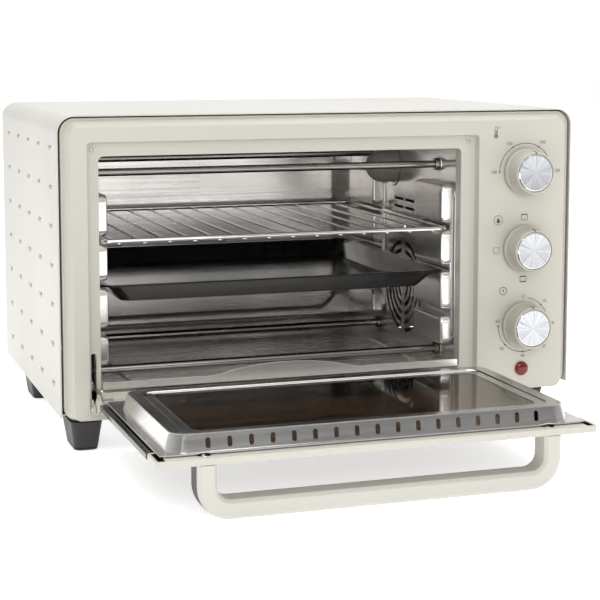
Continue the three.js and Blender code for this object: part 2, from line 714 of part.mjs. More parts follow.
function crumbTray() {
  const sheet = 0.8;
  const { left, right, rear, floor, rim, lipY, lipTop } = crumb;
  const pan = block(left, lipY, floor, right, rear, rim);
  const hollow = block(left + sheet, lipY + sheet, floor + sheet, right - sheet, rear - sheet, 60);
  const lip = new THREE.Shape();
  const humpMiddle = -35;
  const humpTop = 62;
  lip.moveTo(mouth.left + 1.2, floor);
  lip.lineTo(mouth.right - 1.2, floor);
  lip.lineTo(mouth.right - 1.2, lipTop);
  lip.lineTo(humpMiddle + 62, lipTop);
  lip.bezierCurveTo(humpMiddle + 35, lipTop, humpMiddle + 34, humpTop, humpMiddle, humpTop);
  lip.bezierCurveTo(humpMiddle - 34, humpTop, humpMiddle - 35, lipTop, humpMiddle - 62, lipTop);
  lip.lineTo(mouth.left + 1.2, lipTop);
  const front = slab(lip, 'y', lipY, lipY + sheet, 6);
  return surface(join(cut(pan, hollow), front));
}

// ---- Assembly ----
place('outer_wrap', outerWrap(), creamPaint);
place('rear_panel', rearPanel(), galvanised);
place('base_plate', basePlate(), galvanised);
place('front_panel', frontPanel(), creamPaint);
panelScrewPlaces.forEach(([x, z], i) => {
  place(`${i ? 'right' : 'left'}_panel_screw`, panelScrew(x, z), galvanised);
});
footPlaces.forEach(([name, left, front]) => place(name, foot(left, front), blackPlastic));
place('cord_gland', cordGland(), blackPlastic);

place('cavity_liner', cavityLiner(), aluminised);
place('left_liner_wall', sideWall(-1), aluminised);
place('right_liner_wall', sideWall(1), aluminised);
place('heat_shield', surface(block(-195, 30, 246, 123.6, 280, 246.8)), galvanised);
elementPlaces.forEach(([name, y, z]) => place(name, heatingElement(y, z), brightSteel));
place('lamp_glass', lampGlass(), clearGlass);
place('lamp_bulb', lampBulb(), clearGlass);
place('lamp_socket', lampSocket(), ceramic);
place('fan_rotor', fanRotor(), galvanised);
place('fan_motor', fanMotor(), galvanised);

place('control_bracket', controlBracket(), galvanised);
controls.forEach((control) => {
  const { name, z, body } = control;
  place(`${name}_knob`, knob(z), creamPlastic);
  place(`${name}_knob_cap`, knobCap(z), spunAluminium);
  place(`${name}_shaft`, surface(bar('y', shaftRadius, -13.2, 18.5, controlX, z, 10)), brightSteel);
  place(body, switchBody(control), brownBoard);
});
place('indicator_lens', indicatorLens(), redLens);
place('indicator_holder', indicatorHolder(), blackPlastic);

place('door_top_rail', doorTopRail(), creamPaint);
place('door_outer_glass', doorOuterGlass(), darkGlass);
place('door_bottom_rail', doorBottomRail(), creamPaint);
place('door_inner_pan', doorInnerPan(), brightSteel);
place('door_inner_glass', doorInnerGlass(), darkGlass);
place('door_handle', doorHandle(), creamPaint);
place('left_handle_insert', handleInsert(-1), blackPlastic);
place('right_handle_insert', handleInsert(1), blackPlastic);
place('left_handle_screw', handleScrew(handleScrewX[0]), brightSteel);
place('right_handle_screw', handleScrew(handleScrewX[1]), brightSteel);

place('left_hinge_bracket', hingeBracket(-202.3, -200.9, -213, -200.9), creamPaint);
place('right_hinge_bracket', hingeBracket(131.2, 132.6, 131.2, 144), creamPaint);
place('left_hinge_pin', hingePin(-203.9, -193.5), brightSteel);
place('right_hinge_pin', hingePin(134.2, 127), brightSteel);
place('hinge_arm', hingeArm(), creamPaint);
place('hinge_link', hingeLink(), brightSteel);
place('hinge_spring',
  surface(bar('y', spring.radius, spring.front, spring.rear, spring.x, spring.z, 12)),
  brightSteel);

place('wire_rack', wireRack(), brightSteel);
place('baking_tray', bakingTray(), blackEnamel);
place('crumb_tray', crumbTray(), aluminised);

oven.position.y = -(door.front + glandRear) / 2;

export default oven;
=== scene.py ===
"""A counter-top toaster oven with its door open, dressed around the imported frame.

Pieces are drawn in millimetres in the oven's own frame: X = 0 at the middle of the body, Y = 0 at
the face of the front panel with +Y towards the back, and Z = 0 under the feet. finished() brings
them to metres and to the row's frame. Sizes are read from the frame's nodes wherever they have one.
"""
import math

import bmesh
import bpy
from mathutils import Matrix, Vector


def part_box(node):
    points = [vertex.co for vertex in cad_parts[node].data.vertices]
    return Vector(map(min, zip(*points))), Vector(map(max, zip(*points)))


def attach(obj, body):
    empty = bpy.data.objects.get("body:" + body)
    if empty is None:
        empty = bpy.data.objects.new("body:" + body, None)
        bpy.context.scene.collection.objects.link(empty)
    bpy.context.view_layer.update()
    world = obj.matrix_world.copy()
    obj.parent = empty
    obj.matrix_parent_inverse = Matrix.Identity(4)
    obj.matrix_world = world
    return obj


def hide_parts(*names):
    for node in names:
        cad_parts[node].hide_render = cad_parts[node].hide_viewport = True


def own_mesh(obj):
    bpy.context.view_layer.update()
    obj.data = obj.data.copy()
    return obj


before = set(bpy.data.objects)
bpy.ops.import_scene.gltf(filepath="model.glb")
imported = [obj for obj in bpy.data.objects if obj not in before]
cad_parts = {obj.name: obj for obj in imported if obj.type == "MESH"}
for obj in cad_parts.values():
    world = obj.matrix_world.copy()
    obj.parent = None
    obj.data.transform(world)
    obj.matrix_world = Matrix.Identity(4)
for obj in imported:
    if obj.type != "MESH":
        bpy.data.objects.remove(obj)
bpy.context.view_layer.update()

MM = 0.001
PANEL_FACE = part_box("front_panel")[0].y


# ---- Camera, light and floor ----
def set_camera():
    lens = bpy.data.cameras.new("camera")
    lens.lens = 96.6
    lens.sensor_width = 36
    lens.shift_y = -0.12
    camera = bpy.data.objects.new("camera", lens)
    camera.location = (-0.4475, PANEL_FACE - 1.252, 0.3276)
    camera.rotation_euler = (math.radians(83.4), 0, math.radians(-18.6))
    bpy.context.scene.collection.objects.link(camera)
    bpy.context.scene.camera = camera


def add_light(name, place, aim, size, power):
    lamp = bpy.data.lights.new(name, "AREA")
    lamp.shape = "RECTANGLE"
    lamp.size, lamp.size_y = size
    lamp.energy = power
    light = bpy.data.objects.new(name, lamp)
    light.location = place
    light.rotation_euler = (Vector(aim) - Vector(place)).to_track_quat("-Z", "Y").to_euler()
    bpy.context.scene.collection.objects.link(light)


def set_studio():
    world = bpy.data.worlds.new("studio")
    world.use_nodes = True
    tree = world.node_tree
    heading = tree.nodes.new("ShaderNodeTexCoord").outputs["Generated"]
    parts = add(tree, "ShaderNodeSeparateXYZ", {"Vector": heading}).outputs
    glow_all_round, more_behind, more_above = 0.66, 0.4, 0.26
    behind = maths(tree, "MULTIPLY", parts["Y"], more_behind)
    above = maths(tree, "MULTIPLY", parts["Z"], more_above)
    glow = maths(tree, "ADD", maths(tree, "ADD", behind, above), glow_all_round)
    tree.links.new(glow, tree.nodes["Background"].inputs["Strength"])
    tree.nodes["Background"].inputs["Color"].default_value = (1, 1, 1, 1)
    bpy.context.scene.world = world
    bpy.context.scene.view_settings.view_transform = "Standard"
    add_light("key", (-0.5, -1.9, 1.7), (0, 0, 0.1), (1.6, 1.2), 8)
    add_light("overhead", (0.2, 0.3, 1.7), (0, 0.1, 0.2), (1.4, 1.4), 14)
    add_light("fill", (1.6, -1.2, 0.9), (0, 0, 0.1), (1.2, 1.2), 2)
    add_light("cavity_fill", (-0.2, -1.6, 0.75), (0, 0.1, 0.1), (1.2, 0.6), 7)
    bpy.ops.mesh.primitive_plane_add(size=12, location=(0, 0, 0))
    floor = bpy.context.object
    floor.name = "floor"
    paper = bpy.data.materials.new("floor_paper")
    paper.use_nodes = True
    shader = paper.node_tree.nodes["Principled BSDF"]
    shader.inputs["Base Color"].default_value = (0.96, 0.96, 0.955, 1)
    shader.inputs["Roughness"].default_value = 0.9
    shader.inputs["Emission Color"].default_value = (1, 1, 1, 1)
    shader.inputs["Emission Strength"].default_value = 0.6
    floor.data.materials.append(paper)


# ---- Material building blocks ----
def tone(red, green, blue):
    """A display colour, 0 to 255 each, as the linear colour that a shader takes."""
    parts = [c / 255 for c in (red, green, blue)]
    linear = [c / 12.92 if c <= 0.04045 else ((c + 0.055) / 1.055) ** 2.4 for c in parts]
    return (*linear, 1.0)


def add(tree, kind, inputs=None, **settings):
    made = tree.nodes.new(kind)
    for key, value in settings.items():
        setattr(made, key, value)
    for key, value in (inputs or {}).items():
        if isinstance(value, bpy.types.NodeSocket):
            tree.links.new(value, made.inputs[key])
        else:
            made.inputs[key].default_value = value
    return made


def noise(tree, coords, scale, detail=2.0, distortion=0.0):
    made = add(tree, "ShaderNodeTexNoise",
               {"Vector": coords, "Scale": scale, "Detail": detail, "Distortion": distortion})
    return made.outputs["Fac"]


def ranged(tree, value, low, high, to_low, to_high):
    made = add(tree, "ShaderNodeMapRange", {
        "Value": value, "From Min": low, "From Max": high, "To Min": to_low, "To Max": to_high})
    return made.outputs["Result"]


def maths(tree, operation, first, second=0.0):
    made = tree.nodes.new("ShaderNodeMath")
    made.operation = operation
    for index, value in enumerate((first, second)):
        if isinstance(value, bpy.types.NodeSocket):
            tree.links.new(value, made.inputs[index])
        else:
            made.inputs[index].default_value = value
    return made.outputs[0]


def mixed(tree, amount, first, second):
    made = tree.nodes.new("ShaderNodeMix")
    made.data_type = "RGBA"
    for name, value in (("Factor_Float", amount), ("A_Color", first), ("B_Color", second)):
        socket = next(s for s in made.inputs if s.identifier == name)
        if isinstance(value, bpy.types.NodeSocket):
            tree.links.new(value, socket)
        else:
            socket.default_value = value
    return next(s for s in made.outputs if s.identifier == "Result_Color")


def stretched(tree, coords, stretch):
    made = add(tree, "ShaderNodeMapping", {"Vector": coords, "Scale": stretch})
    return made.outputs["Vector"]


def raised(tree, height, strength, distance, normal=None):
    inputs = {"Height": height, "Strength": strength, "Distance": distance}
    if normal is not None:
        inputs["Normal"] = normal
    return add(tree, "ShaderNodeBump", inputs).outputs["Normal"]


FLOAT, COLOUR, VECTOR = "NodeSocketFloat", "NodeSocketColor", "NodeSocketVector"


def effect(name, inputs):
    """An empty shader node group with named sockets, its inputs, and Object coordinates."""
    group = bpy.data.node_groups.new(name, "ShaderNodeTree")
    for label, kind, value in inputs:
        socket = group.interface.new_socket(label, in_out="INPUT", socket_type=kind)
        socket.default_value = value
    for label, kind in (("Colour", COLOUR), ("Roughness", FLOAT), ("Normal", VECTOR)):
        group.interface.new_socket(label, in_out="OUTPUT", socket_type=kind)
    given = group.nodes.new("NodeGroupInput").outputs
    return group, given, group.nodes.new("ShaderNodeTexCoord").outputs["Object"]


def put_out(group, colour, roughness, normal):
    """Joins an effect's results to its outputs."""
    results = group.nodes.new("NodeGroupOutput").inputs
    for label, value in (("Colour", colour), ("Roughness", roughness), ("Normal", normal)):
        group.links.new(value, results[label])
    return group


def powder_coat():
    """Baked powder paint: a fine orange peel, a faint cloudiness, and rubbed and dusty patches."""
    group, given, coords = effect("powder coat", [
        ("Colour", COLOUR, (0.7, 0.7, 0.6, 1)), ("Dusty Colour", COLOUR, (0.6, 0.6, 0.5, 1)),
        ("Roughness", FLOAT, 0.4), ("Peel", FLOAT, 0.2)])
    cloud = noise(group, coords, 5.5, 3)
    speck = noise(group, coords, 420, 2)
    dust = ranged(group, noise(group, coords, 38, 4), 0.52, 0.78, 0, 0.35)
    cloudy = mixed(group, ranged(group, cloud, 0.3, 0.7, 0, 0.28), given["Colour"],
                   given["Dusty Colour"])
    dusted = mixed(group, maths(group, "MULTIPLY", dust, speck), cloudy, given["Dusty Colour"])
    rubbed = ranged(group, cloud, 0.25, 0.75, -0.05, 0.07)
    speckled = ranged(group, speck, 0.3, 0.7, -0.03, 0.03)
    rough = maths(group, "ADD", given["Roughness"], maths(group, "ADD", rubbed, speckled))
    peel = maths(group, "ADD", noise(group, coords, 650, 2), noise(group, coords, 190, 1))
    return put_out(group, dusted, rough, raised(group, peel, given["Peel"], 0.00025))


def rolled_sheet():
    """Rolled or drawn sheet: long fine grain lines along one direction, with faint stains."""
    group, given, coords = effect("rolled sheet", [
        ("Colour", COLOUR, (0.7, 0.7, 0.7, 1)), ("Stain Colour", COLOUR, (0.5, 0.45, 0.4, 1)),
        ("Grain Scale", VECTOR, (6, 300, 300)), ("Roughness", FLOAT, 0.25),
        ("Grain", FLOAT, 0.1), ("Waviness", FLOAT, 0.1), ("Stain", FLOAT, 0.3)])
    lines = noise(group, stretched(group, coords, given["Grain Scale"]), 1.0, 4)
    blotch = noise(group, coords, 14, 4, 0.6)
    stain = maths(group, "MULTIPLY", ranged(group, blotch, 0.45, 0.8, 0, 1), given["Stain"])
    lined = mixed(group, ranged(group, lines, 0.3, 0.7, 0.0, 0.08), given["Colour"],
                  (0.32, 0.31, 0.3, 1))
    stained = mixed(group, stain, lined, given["Stain Colour"])
    rough = maths(group, "ADD", given["Roughness"], ranged(group, lines, 0.25, 0.75, -0.04, 0.07))
    worn = maths(group, "ADD", rough, maths(group, "MULTIPLY", stain, 0.35))
    wave = raised(group, noise(group, coords, 9, 1), given["Waviness"], 0.012)
    return put_out(group, stained, worn, raised(group, lines, given["Grain"], 0.0002, wave))


def moulded_grain():
    """Spark-eroded moulded plastic: a fine pebble, slight shading and greasy handling marks."""
    group, given, coords = effect("moulded grain", [
        ("Colour", COLOUR, (0.5, 0.5, 0.5, 1)), ("Worn Colour", COLOUR, (0.6, 0.6, 0.6, 1)),
        ("Roughness", FLOAT, 0.5), ("Pebble", FLOAT, 0.25)])
    pebble = noise(group, coords, 900, 2)
    patch = noise(group, coords, 22, 3)
    shade = mixed(group, ranged(group, patch, 0.35, 0.75, 0, 0.5), given["Colour"],
                  given["Worn Colour"])
    rough = maths(group, "ADD", given["Roughness"], ranged(group, patch, 0.3, 0.7, 0.05, -0.08))
    return put_out(group, shade, rough, raised(group, pebble, given["Pebble"], 0.0002))


def smeared():
    """Wiped glass or enamel: soft cloth smears and a scatter of dust."""
    group, given, coords = effect("smeared", [
        ("Colour", COLOUR, (0.1, 0.1, 0.1, 1)), ("Dust Colour", COLOUR, (0.5, 0.48, 0.45, 1)),
        ("Roughness", FLOAT, 0.04), ("Smear", FLOAT, 0.1), ("Ripple", FLOAT, 0.02)])
    wipe = noise(group, stretched(group, coords, (9, 30, 30)), 1.0, 4, 1.5)
    dust = ranged(group, noise(group, coords, 520, 3), 0.66, 0.8, 0, 0.35)
    dusted = mixed(group, dust, given["Colour"], given["Dust Colour"])
    streak = maths(group, "MULTIPLY", ranged(group, wipe, 0.4, 0.75, 0, 1), given["Smear"])
    rough = maths(group, "ADD", given["Roughness"], streak)
    ripple = raised(group, noise(group, coords, 12, 1), given["Ripple"], 0.004)
    return put_out(group, dusted, rough, ripple)


def turned_rings():
    """A lathe's fine rings about a centre, with painted light and dark reflection sectors that fan
    out from it.
    """
    group, given, coords = effect("turned rings", [
        ("Centre", VECTOR, (0, 0, 0)), ("Colour", COLOUR, (0.8, 0.8, 0.8, 1)),
        ("Painted Sheen Colour", COLOUR, (0.6, 0.6, 0.6, 1)), ("Roughness", FLOAT, 0.25),
        ("Rings", FLOAT, 0.2)])
    away = add(group, "ShaderNodeVectorMath", {0: coords, 1: given["Centre"]},
               operation="SUBTRACT").outputs["Vector"]
    parts = add(group, "ShaderNodeSeparateXYZ", {"Vector": away}).outputs
    flat = add(group, "ShaderNodeCombineXYZ", {"X": parts["X"], "Z": parts["Z"]}).outputs["Vector"]
    reach = add(group, "ShaderNodeVectorMath", {0: flat}, operation="LENGTH").outputs["Value"]
    turn = maths(group, "ARCTAN2", parts["Z"], parts["X"])
    ring = add(group, "ShaderNodeTexNoise", {"W": reach, "Scale": 2600.0, "Detail": 3.0},
               noise_dimensions="1D").outputs["Fac"]
    # Painted reflection: six fan-shaped sectors, broken up by fine noise, pull the colour towards
    # the darker sheen colour as a spun face's reflections would.
    fan = maths(group, "ABSOLUTE", maths(group, "SINE", maths(group, "MULTIPLY", turn, 3.0)))
    fine = add(group, "ShaderNodeTexNoise", {"W": turn, "Scale": 5.0, "Detail": 4.0},
               noise_dimensions="1D").outputs["Fac"]
    # streak is the share of painted reflection shade at each spot.
    streak = maths(group, "MULTIPLY", ranged(group, fine, 0.35, 0.7, 0, 1),
                   ranged(group, fan, 0, 1, 0.25, 0.85))
    painted_sheen = mixed(group, streak, given["Colour"], given["Painted Sheen Colour"])
    rough = maths(group, "ADD", given["Roughness"], ranged(group, ring, 0.3, 0.7, -0.05, 0.06))
    return put_out(group, painted_sheen, rough, raised(group, ring, given["Rings"], 0.00005))


POWDER_COAT = powder_coat()
ROLLED_SHEET = rolled_sheet()
MOULDED_GRAIN = moulded_grain()
SMEARED = smeared()
TURNED_RINGS = turned_rings()


def material(name, group, *values, **shader_values):
    """A material whose colour, roughness and normal come from a surface effect. The values are
    for the effect's inputs, in their order, and the named ones for the shader's own sockets."""
    made = bpy.data.materials.new(name)
    made.use_nodes = True
    tree = made.node_tree
    shader = tree.nodes["Principled BSDF"]
    skin = tree.nodes.new("ShaderNodeGroup")
    skin.node_tree = group
    for socket, value in zip(skin.inputs, values):
        socket.default_value = value
    for label in ("Colour", "Roughness", "Normal"):
        tree.links.new(skin.outputs[label], shader.inputs[label.replace("Colour", "Base Color")])
    for key, value in shader_values.items():
        shader.inputs[key.replace("_", " ").title().replace("Ior", "IOR")].default_value = value
    return made


# Paint: colour, dusty colour, roughness, orange peel
body_paint = material("body_powder_coat", POWDER_COAT,
                      tone(195, 193, 186), tone(186, 183, 174), 0.42, 0.16)
panel_paint = material("panel_powder_coat", POWDER_COAT,
                       tone(189, 186, 176), tone(181, 177, 166), 0.38, 0.12)
handle_paint = material("handle_cream", POWDER_COAT,
                        tone(191, 189, 181), tone(181, 177, 168), 0.34, 0.08)

# Mouldings and inks: colour, worn colour, roughness, pebble
knob_plastic = material("knob_cream", MOULDED_GRAIN,
                        tone(180, 177, 166), tone(188, 185, 175), 0.42, 0.2)
black_plastic = material("black_moulding", MOULDED_GRAIN,
                         tone(24, 24, 23), tone(44, 43, 41), 0.5, 0.4)
brown_moulding = material("switch_moulding", MOULDED_GRAIN,
                          tone(116, 84, 58), tone(140, 106, 76), 0.55, 0.3)
panel_ink = material("panel_ink", MOULDED_GRAIN, tone(58, 54, 47), tone(84, 79, 70), 0.55, 0.1)
pointer_ink = material("pointer_ink", MOULDED_GRAIN,
                       tone(70, 66, 60), tone(96, 90, 82), 0.5, 0.15)

# Metals: colour, stain colour, grain scale, roughness, grain, waviness, stain
cavity_steel = material("cavity_sheet", ROLLED_SHEET, tone(240, 237, 234), tone(186, 166, 148),
                        (5, 420, 420), 0.22, 0.03, 0.2, 0.12, metallic=0.8)
wall_steel = material("cavity_side_sheet", ROLLED_SHEET, tone(238, 234, 230), tone(186, 162, 142),
                      (420, 5, 420), 0.2, 0.02, 0.14, 0.14, metallic=0.85)
pan_steel = material("door_pan_sheet", ROLLED_SHEET, tone(194, 193, 191), tone(168, 160, 152),
                     (8, 260, 260), 0.15, 0.025, 0.05, 0.1, metallic=1.0)
zinc_sheet = material("zinc_sheet", ROLLED_SHEET, tone(178, 179, 179), tone(140, 140, 140),
                      (60, 60, 60), 0.42, 0.1, 0.05, 0.3, metallic=0.9)
drawn_steel = material("drawn_steel", ROLLED_SHEET, tone(205, 202, 196), tone(150, 130, 110),
                       (30, 500, 500), 0.22, 0.08, 0.02, 0.2, metallic=1.0)
element_steel = material("element_sheath", ROLLED_SHEET, tone(150, 146, 142), tone(74, 66, 60),
                         (8, 500, 500), 0.2, 0.1, 0.02, 0.45, metallic=1.0)
rack_chrome = material("rack_chrome", ROLLED_SHEET, tone(226, 225, 222), tone(160, 146, 128),
                       (60, 60, 60), 0.12, 0.02, 0.02, 0.12, metallic=1.0)
brass = material("bulb_brass", ROLLED_SHEET, tone(206, 180, 120), tone(130, 100, 60),
                 (60, 60, 60), 0.3, 0.05, 0.02, 0.3, metallic=1.0)
laminated_iron = material("laminated_iron", ROLLED_SHEET, tone(120, 116, 112), tone(96, 62, 40),
                          (1800, 6, 6), 0.45, 0.6, 0.02, 0.35, metallic=1.0)
cut_edge = material("cut_aluminium_edge", ROLLED_SHEET, tone(232, 232, 232), tone(180, 180, 180),
                    (300, 300, 300), 0.08, 0.02, 0.01, 0.05, metallic=1.0)

# Enamel, glaze and glass: colour, dust colour, roughness, smear, ripple
black_enamel = material("black_enamel", SMEARED, tone(15, 15, 16), tone(50, 48, 46), 0.16, 0.06,
                        0.04, specular_ior_level=0.35, coat_weight=0.3, coat_roughness=0.08)
ceramic_glaze = material("white_ceramic", SMEARED,
                         tone(226, 219, 205), tone(170, 158, 140), 0.35, 0.15, 0.1)
printed_black = material("printed_black", SMEARED,
                         tone(16, 15, 14), tone(40, 38, 36), 0.16, 0.1, 0.02)
smoked_glass = material("smoked_glass", SMEARED, tone(92, 74, 60), tone(120, 112, 104), 0.02,
                        0.04, 0.0, transmission_weight=1.0, ior=1.5)
inner_glass = material("inner_glass", SMEARED, tone(186, 172, 156), tone(190, 182, 170), 0.02,
                       0.06, 0.0, transmission_weight=1.0, ior=1.52)
lamp_frosted = material("lamp_clear_glass", SMEARED, tone(206, 203, 192), tone(190, 186, 174),
                        0.38, 0.1, 0.1, transmission_weight=0.55, ior=1.47)
bulb_clear = material("bulb_clear_glass", SMEARED, tone(240, 240, 236), tone(220, 216, 206),
                      0.03, 0.04, 0.05, transmission_weight=1.0, ior=1.45)
red_jewel = material("red_jewel", SMEARED, tone(150, 20, 12), tone(160, 52, 40), 0.06, 0.04, 0.2,
                     transmission_weight=0.5, ior=1.49)


def spun_aluminium(control, centre):
    """The cap's spun face: its shine turns with the lathe's rings."""
    place = (centre.x * MM, PANEL_FACE + centre.y * MM, centre.z * MM)
    # The second colour is the darker tone of the painted reflection sectors on the spun face.
    made = material(f"{control}_spun_aluminium", TURNED_RINGS, place, tone(200, 201, 204),
                    tone(158, 159, 163), 0.27, 0.25, metallic=1.0, anisotropic=0.7)
    tree = made.node_tree
    around_axis = add(tree, "ShaderNodeTangent", direction_type="RADIAL", axis="Y")
    shader = tree.nodes["Principled BSDF"]
    tree.links.new(around_axis.outputs["Tangent"], shader.inputs["Tangent"])
    return made


# ---- Making pieces ----
def span(node):
    """A node's box in the drawing frame, in millimetres: left, front, bottom, right, rear, top."""
    low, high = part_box(node)
    return (low.x / MM, (low.y - PANEL_FACE) / MM, low.z / MM,
            high.x / MM, (high.y - PANEL_FACE) / MM, high.z / MM)


def middle(node):
    left, front, bottom, right, rear, top = span(node)
    return Vector(((left + right) / 2, (front + rear) / 2, (bottom + top) / 2))


def finished(bm, name, look, body, nodes=(), slot=None, sharp=32, facing=None, sheet=None,
             looks=()):
    """Closes up a bmesh drawn in millimetres and makes it a piece of the oven."""
    bmesh.ops.remove_doubles(bm, verts=bm.verts, dist=0.002)
    bmesh.ops.dissolve_degenerate(bm, edges=bm.edges, dist=0.0005)
    bmesh.ops.recalc_face_normals(bm, faces=bm.faces)
    if facing:
        along = sum(face.calc_area() * face.normal.dot(Vector(facing)) for face in bm.faces)
        if along < 0:
            bmesh.ops.reverse_faces(bm, faces=bm.faces)
    to_row = Matrix.Translation((0, PANEL_FACE, 0)) @ Matrix.Scale(MM, 4)
    bmesh.ops.transform(bm, matrix=to_row, verts=bm.verts)
    mesh = bpy.data.meshes.new(name)
    bm.to_mesh(mesh)
    bm.free()
    mesh.shade_smooth()
    mesh.set_sharp_from_angle(angle=math.radians(sharp))
    if sheet:
        sharpen_rims(mesh)
    for one in (look, *looks):
        mesh.materials.append(one)
    piece = bpy.data.objects.new(name, mesh)
    bpy.context.scene.collection.objects.link(piece)
    if sheet:
        wall = piece.modifiers.new("sheet", "SOLIDIFY")
        wall.thickness = sheet * MM
        wall.offset = -1
    shading = piece.modifiers.new("level_shading", "WEIGHTED_NORMAL")
    shading.keep_sharp = True
    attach(piece, body)
    if nodes:
        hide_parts(*nodes)
    return piece


def sharpen_rims(mesh):
    """Marks a sheet's open edges sharp, so that its cut rims don't shade into its faces."""
    faces_at = {}
    for face in mesh.polygons:
        for key in face.edge_keys:
            faces_at[key] = faces_at.get(key, 0) + 1
    for edge in mesh.edges:
        if faces_at.get(edge.key) == 1:
            edge.use_edge_sharp = True


def arc(centre, radius, start, end, steps):
    """Points on an arc, angles in degrees."""
    return [(centre[0] + radius * math.cos(math.radians(start + (end - start) * i / steps)),
             centre[1] + radius * math.sin(math.radians(start + (end - start) * i / steps)))
            for i in range(steps + 1)]


def rounded(left, low, right, high, radius, steps=6):
    """The points of a rectangle with round corners, counter-clockwise."""
    radius = max(radius, 0.05)
    corners = [((right - radius, low + radius), -90), ((right - radius, high - radius), 0),
               ((left + radius, high - radius), 90), ((left + radius, low + radius), 180)]
    return [p for centre, start in corners for p in arc(centre, radius, start, start + 90, steps)]


def circle(a, b, radius, steps=24):
    return arc((a, b), radius, 0, 360 * (steps - 1) / steps, steps - 1)


def around_box(box, radius, steps=5, least=0.3, follow=1):
    """An outline that shrinks from a box of left, low, right, high as its inset grows. Its
    corners shrink too, down to the least radius, or stay the same where follow is 0."""
    def outline_at(inset):
        return rounded(box[0] + inset, box[1] + inset, box[2] - inset, box[3] - inset,
                       max(radius - inset * follow, least), steps)
    return outline_at


def around_hole(a, b, radius, steps):
    """A round outline that grows with its inset."""
    return lambda inset: circle(a, b, radius + inset, steps)


def soft(points, radius, steps=3):
    """A polyline with its inner corners rounded off."""
    eased = [points[0]]
    for before, corner, after in zip(points, points[1:], points[2:]):
        before, corner, after = Vector(before), Vector(corner), Vector(after)
        reach = min(radius, (before - corner).length / 2, (after - corner).length / 2)
        start = corner + (before - corner).normalized() * reach
        end = corner + (after - corner).normalized() * reach
        for i in range(steps + 1):
            t = i / steps
            eased.append(tuple(start * (1 - t) ** 2 + corner * 2 * t * (1 - t) + end * t ** 2))
    return eased + [points[-1]]


# Where an outline's two coordinates and a height above it lie: on the front, on a floor, on a side
def on_front(a, b, height):
    return (a, -height, b)


def on_floor(a, b, height):
    return (a, b, height)


def on_side(a, b, height):
    return (height, a, b)


def closed_line(bm, spots):
    verts = [bm.verts.new(spot) for spot in spots]
    return [bm.edges.new((verts[i - 1], verts[i])) for i in range(len(verts))]


def banded(bm, rings):
    for first, second in zip(rings, rings[1:]):
        bmesh.ops.bridge_loops(bm, edges=first + second)


def drawn_out(bm, made, shift):
    """Moves the corners that an extrusion made."""
    corners = [g for g in made["geom"] if isinstance(g, bmesh.types.BMVert)]
    bmesh.ops.translate(bm, vec=shift, verts=corners)


def bent_sheet(bm, spots, shift):
    """Adds a sheet that is bent along a line of points and drawn out straight."""
    verts = [bm.verts.new(spot) for spot in spots]
    edges = [bm.edges.new(pair) for pair in zip(verts, verts[1:])]
    drawn_out(bm, bmesh.ops.extrude_edge_only(bm, edges=edges), shift)


OFF_LEVEL = Matrix.Rotation(0.137, 3, (1, 1, 1))


class Pressing:
    """A sheet pressed into steps: rings of one outline at a height, bands between rings of the
    same count, and flats that fill one ring or lie between several."""

    def __init__(self, surface, bm=None):
        self.bm = bm or bmesh.new()
        self.surface = surface

    def ring(self, outline, height):
        return closed_line(self.bm, [self.surface(a, b, height) for a, b in outline])

    def band(self, *rings):
        banded(self.bm, rings)

    def step(self, outline_at, profile):
        """Rings along a profile of (inset, height), banded. Returns the first and last rings."""
        rings = [self.ring(outline_at(inset), height) for inset, height in profile]
        self.band(*rings)
        return rings[0], rings[-1]

    def flat(self, *rings, turn=OFF_LEVEL):
        """Fills between rings. They are turned meanwhile, as corners level with each other
        can leave gaps in the fill."""
        edges = [edge for ring in rings for edge in ring]
        verts = list({vert for edge in edges for vert in edge.verts})
        places = [vert.co.copy() for vert in verts]
        bmesh.ops.rotate(self.bm, verts=verts, cent=(0, 0, 0), matrix=turn)
        bmesh.ops.triangle_fill(self.bm, use_beauty=True, use_dissolve=False, edges=edges)
        for vert, place in zip(verts, places):
            vert.co = place


def spun(bm, profile, axis, centre, steps=48):
    """Adds a turned shape: profile points are (radius, place along the axis)."""
    across = {"x": (0, 1, 0), "y": (1, 0, 0), "z": (1, 0, 0)}[axis]
    along = {"x": (1, 0, 0), "y": (0, 1, 0), "z": (0, 0, 1)}[axis]
    spots = [Vector(centre) + Vector(across) * radius + Vector(along) * place
             for radius, place in profile]
    verts = [bm.verts.new(spot) for spot in spots]
    edges = [bm.edges.new(pair) for pair in zip(verts, verts[1:])]
    bmesh.ops.spin(bm, geom=verts + edges, cent=centre, axis=along, dvec=(0, 0, 0),
                   angle=math.tau, steps=steps, use_merge=True, use_duplicate=False)


def turned(name, look, body, profile, axis, centre, steps, *nodes_and_slot, **rest):
    """A piece that is one turned shape."""
    bm = bmesh.new()
    spun(bm, profile, axis, centre, steps)
    finished(bm, name, look, body, *nodes_and_slot, **rest)


def rod(bm, path, radius, sides=12, closed=False):
    """Adds a round bar swept along a path of points, with domed ends unless it is closed."""
    spots = [Vector(p) for p in path]
    stations = []
    for i, spot in enumerate(spots):
        before = spots[i - 1] if (i or closed) else spot
        after = spots[(i + 1) % len(spots)] if (i + 1 < len(spots) or closed) else spot
        stations.append((spot, (after - before).normalized(), radius))
    if not closed:
        for at_end in (0, -1):
            spot, heading, _ = stations[at_end]
            outward = heading if at_end else -heading
            domes = [(spot + outward * radius * math.sin(t), heading, radius * math.cos(t))
                     for t in (0.6, 1.1, 1.45)]
            stations = stations + domes if at_end else domes[::-1] + stations
    first = previous = None
    for spot, heading, size in stations:
        frame_at = Matrix.Translation(spot) @ heading.to_track_quat("Z", "Y").to_matrix().to_4x4()
        made = bmesh.ops.create_circle(bm, cap_ends=False, segments=sides, radius=size,
                                       matrix=frame_at)
        ring = list({edge for vert in made["verts"] for edge in vert.link_edges})
        if previous:
            bmesh.ops.bridge_loops(bm, edges=previous + ring)
        first = first or ring
        previous = ring
    if closed:
        bmesh.ops.bridge_loops(bm, edges=previous + first)
    else:
        bmesh.ops.holes_fill(bm, edges=first + previous, sides=sides)


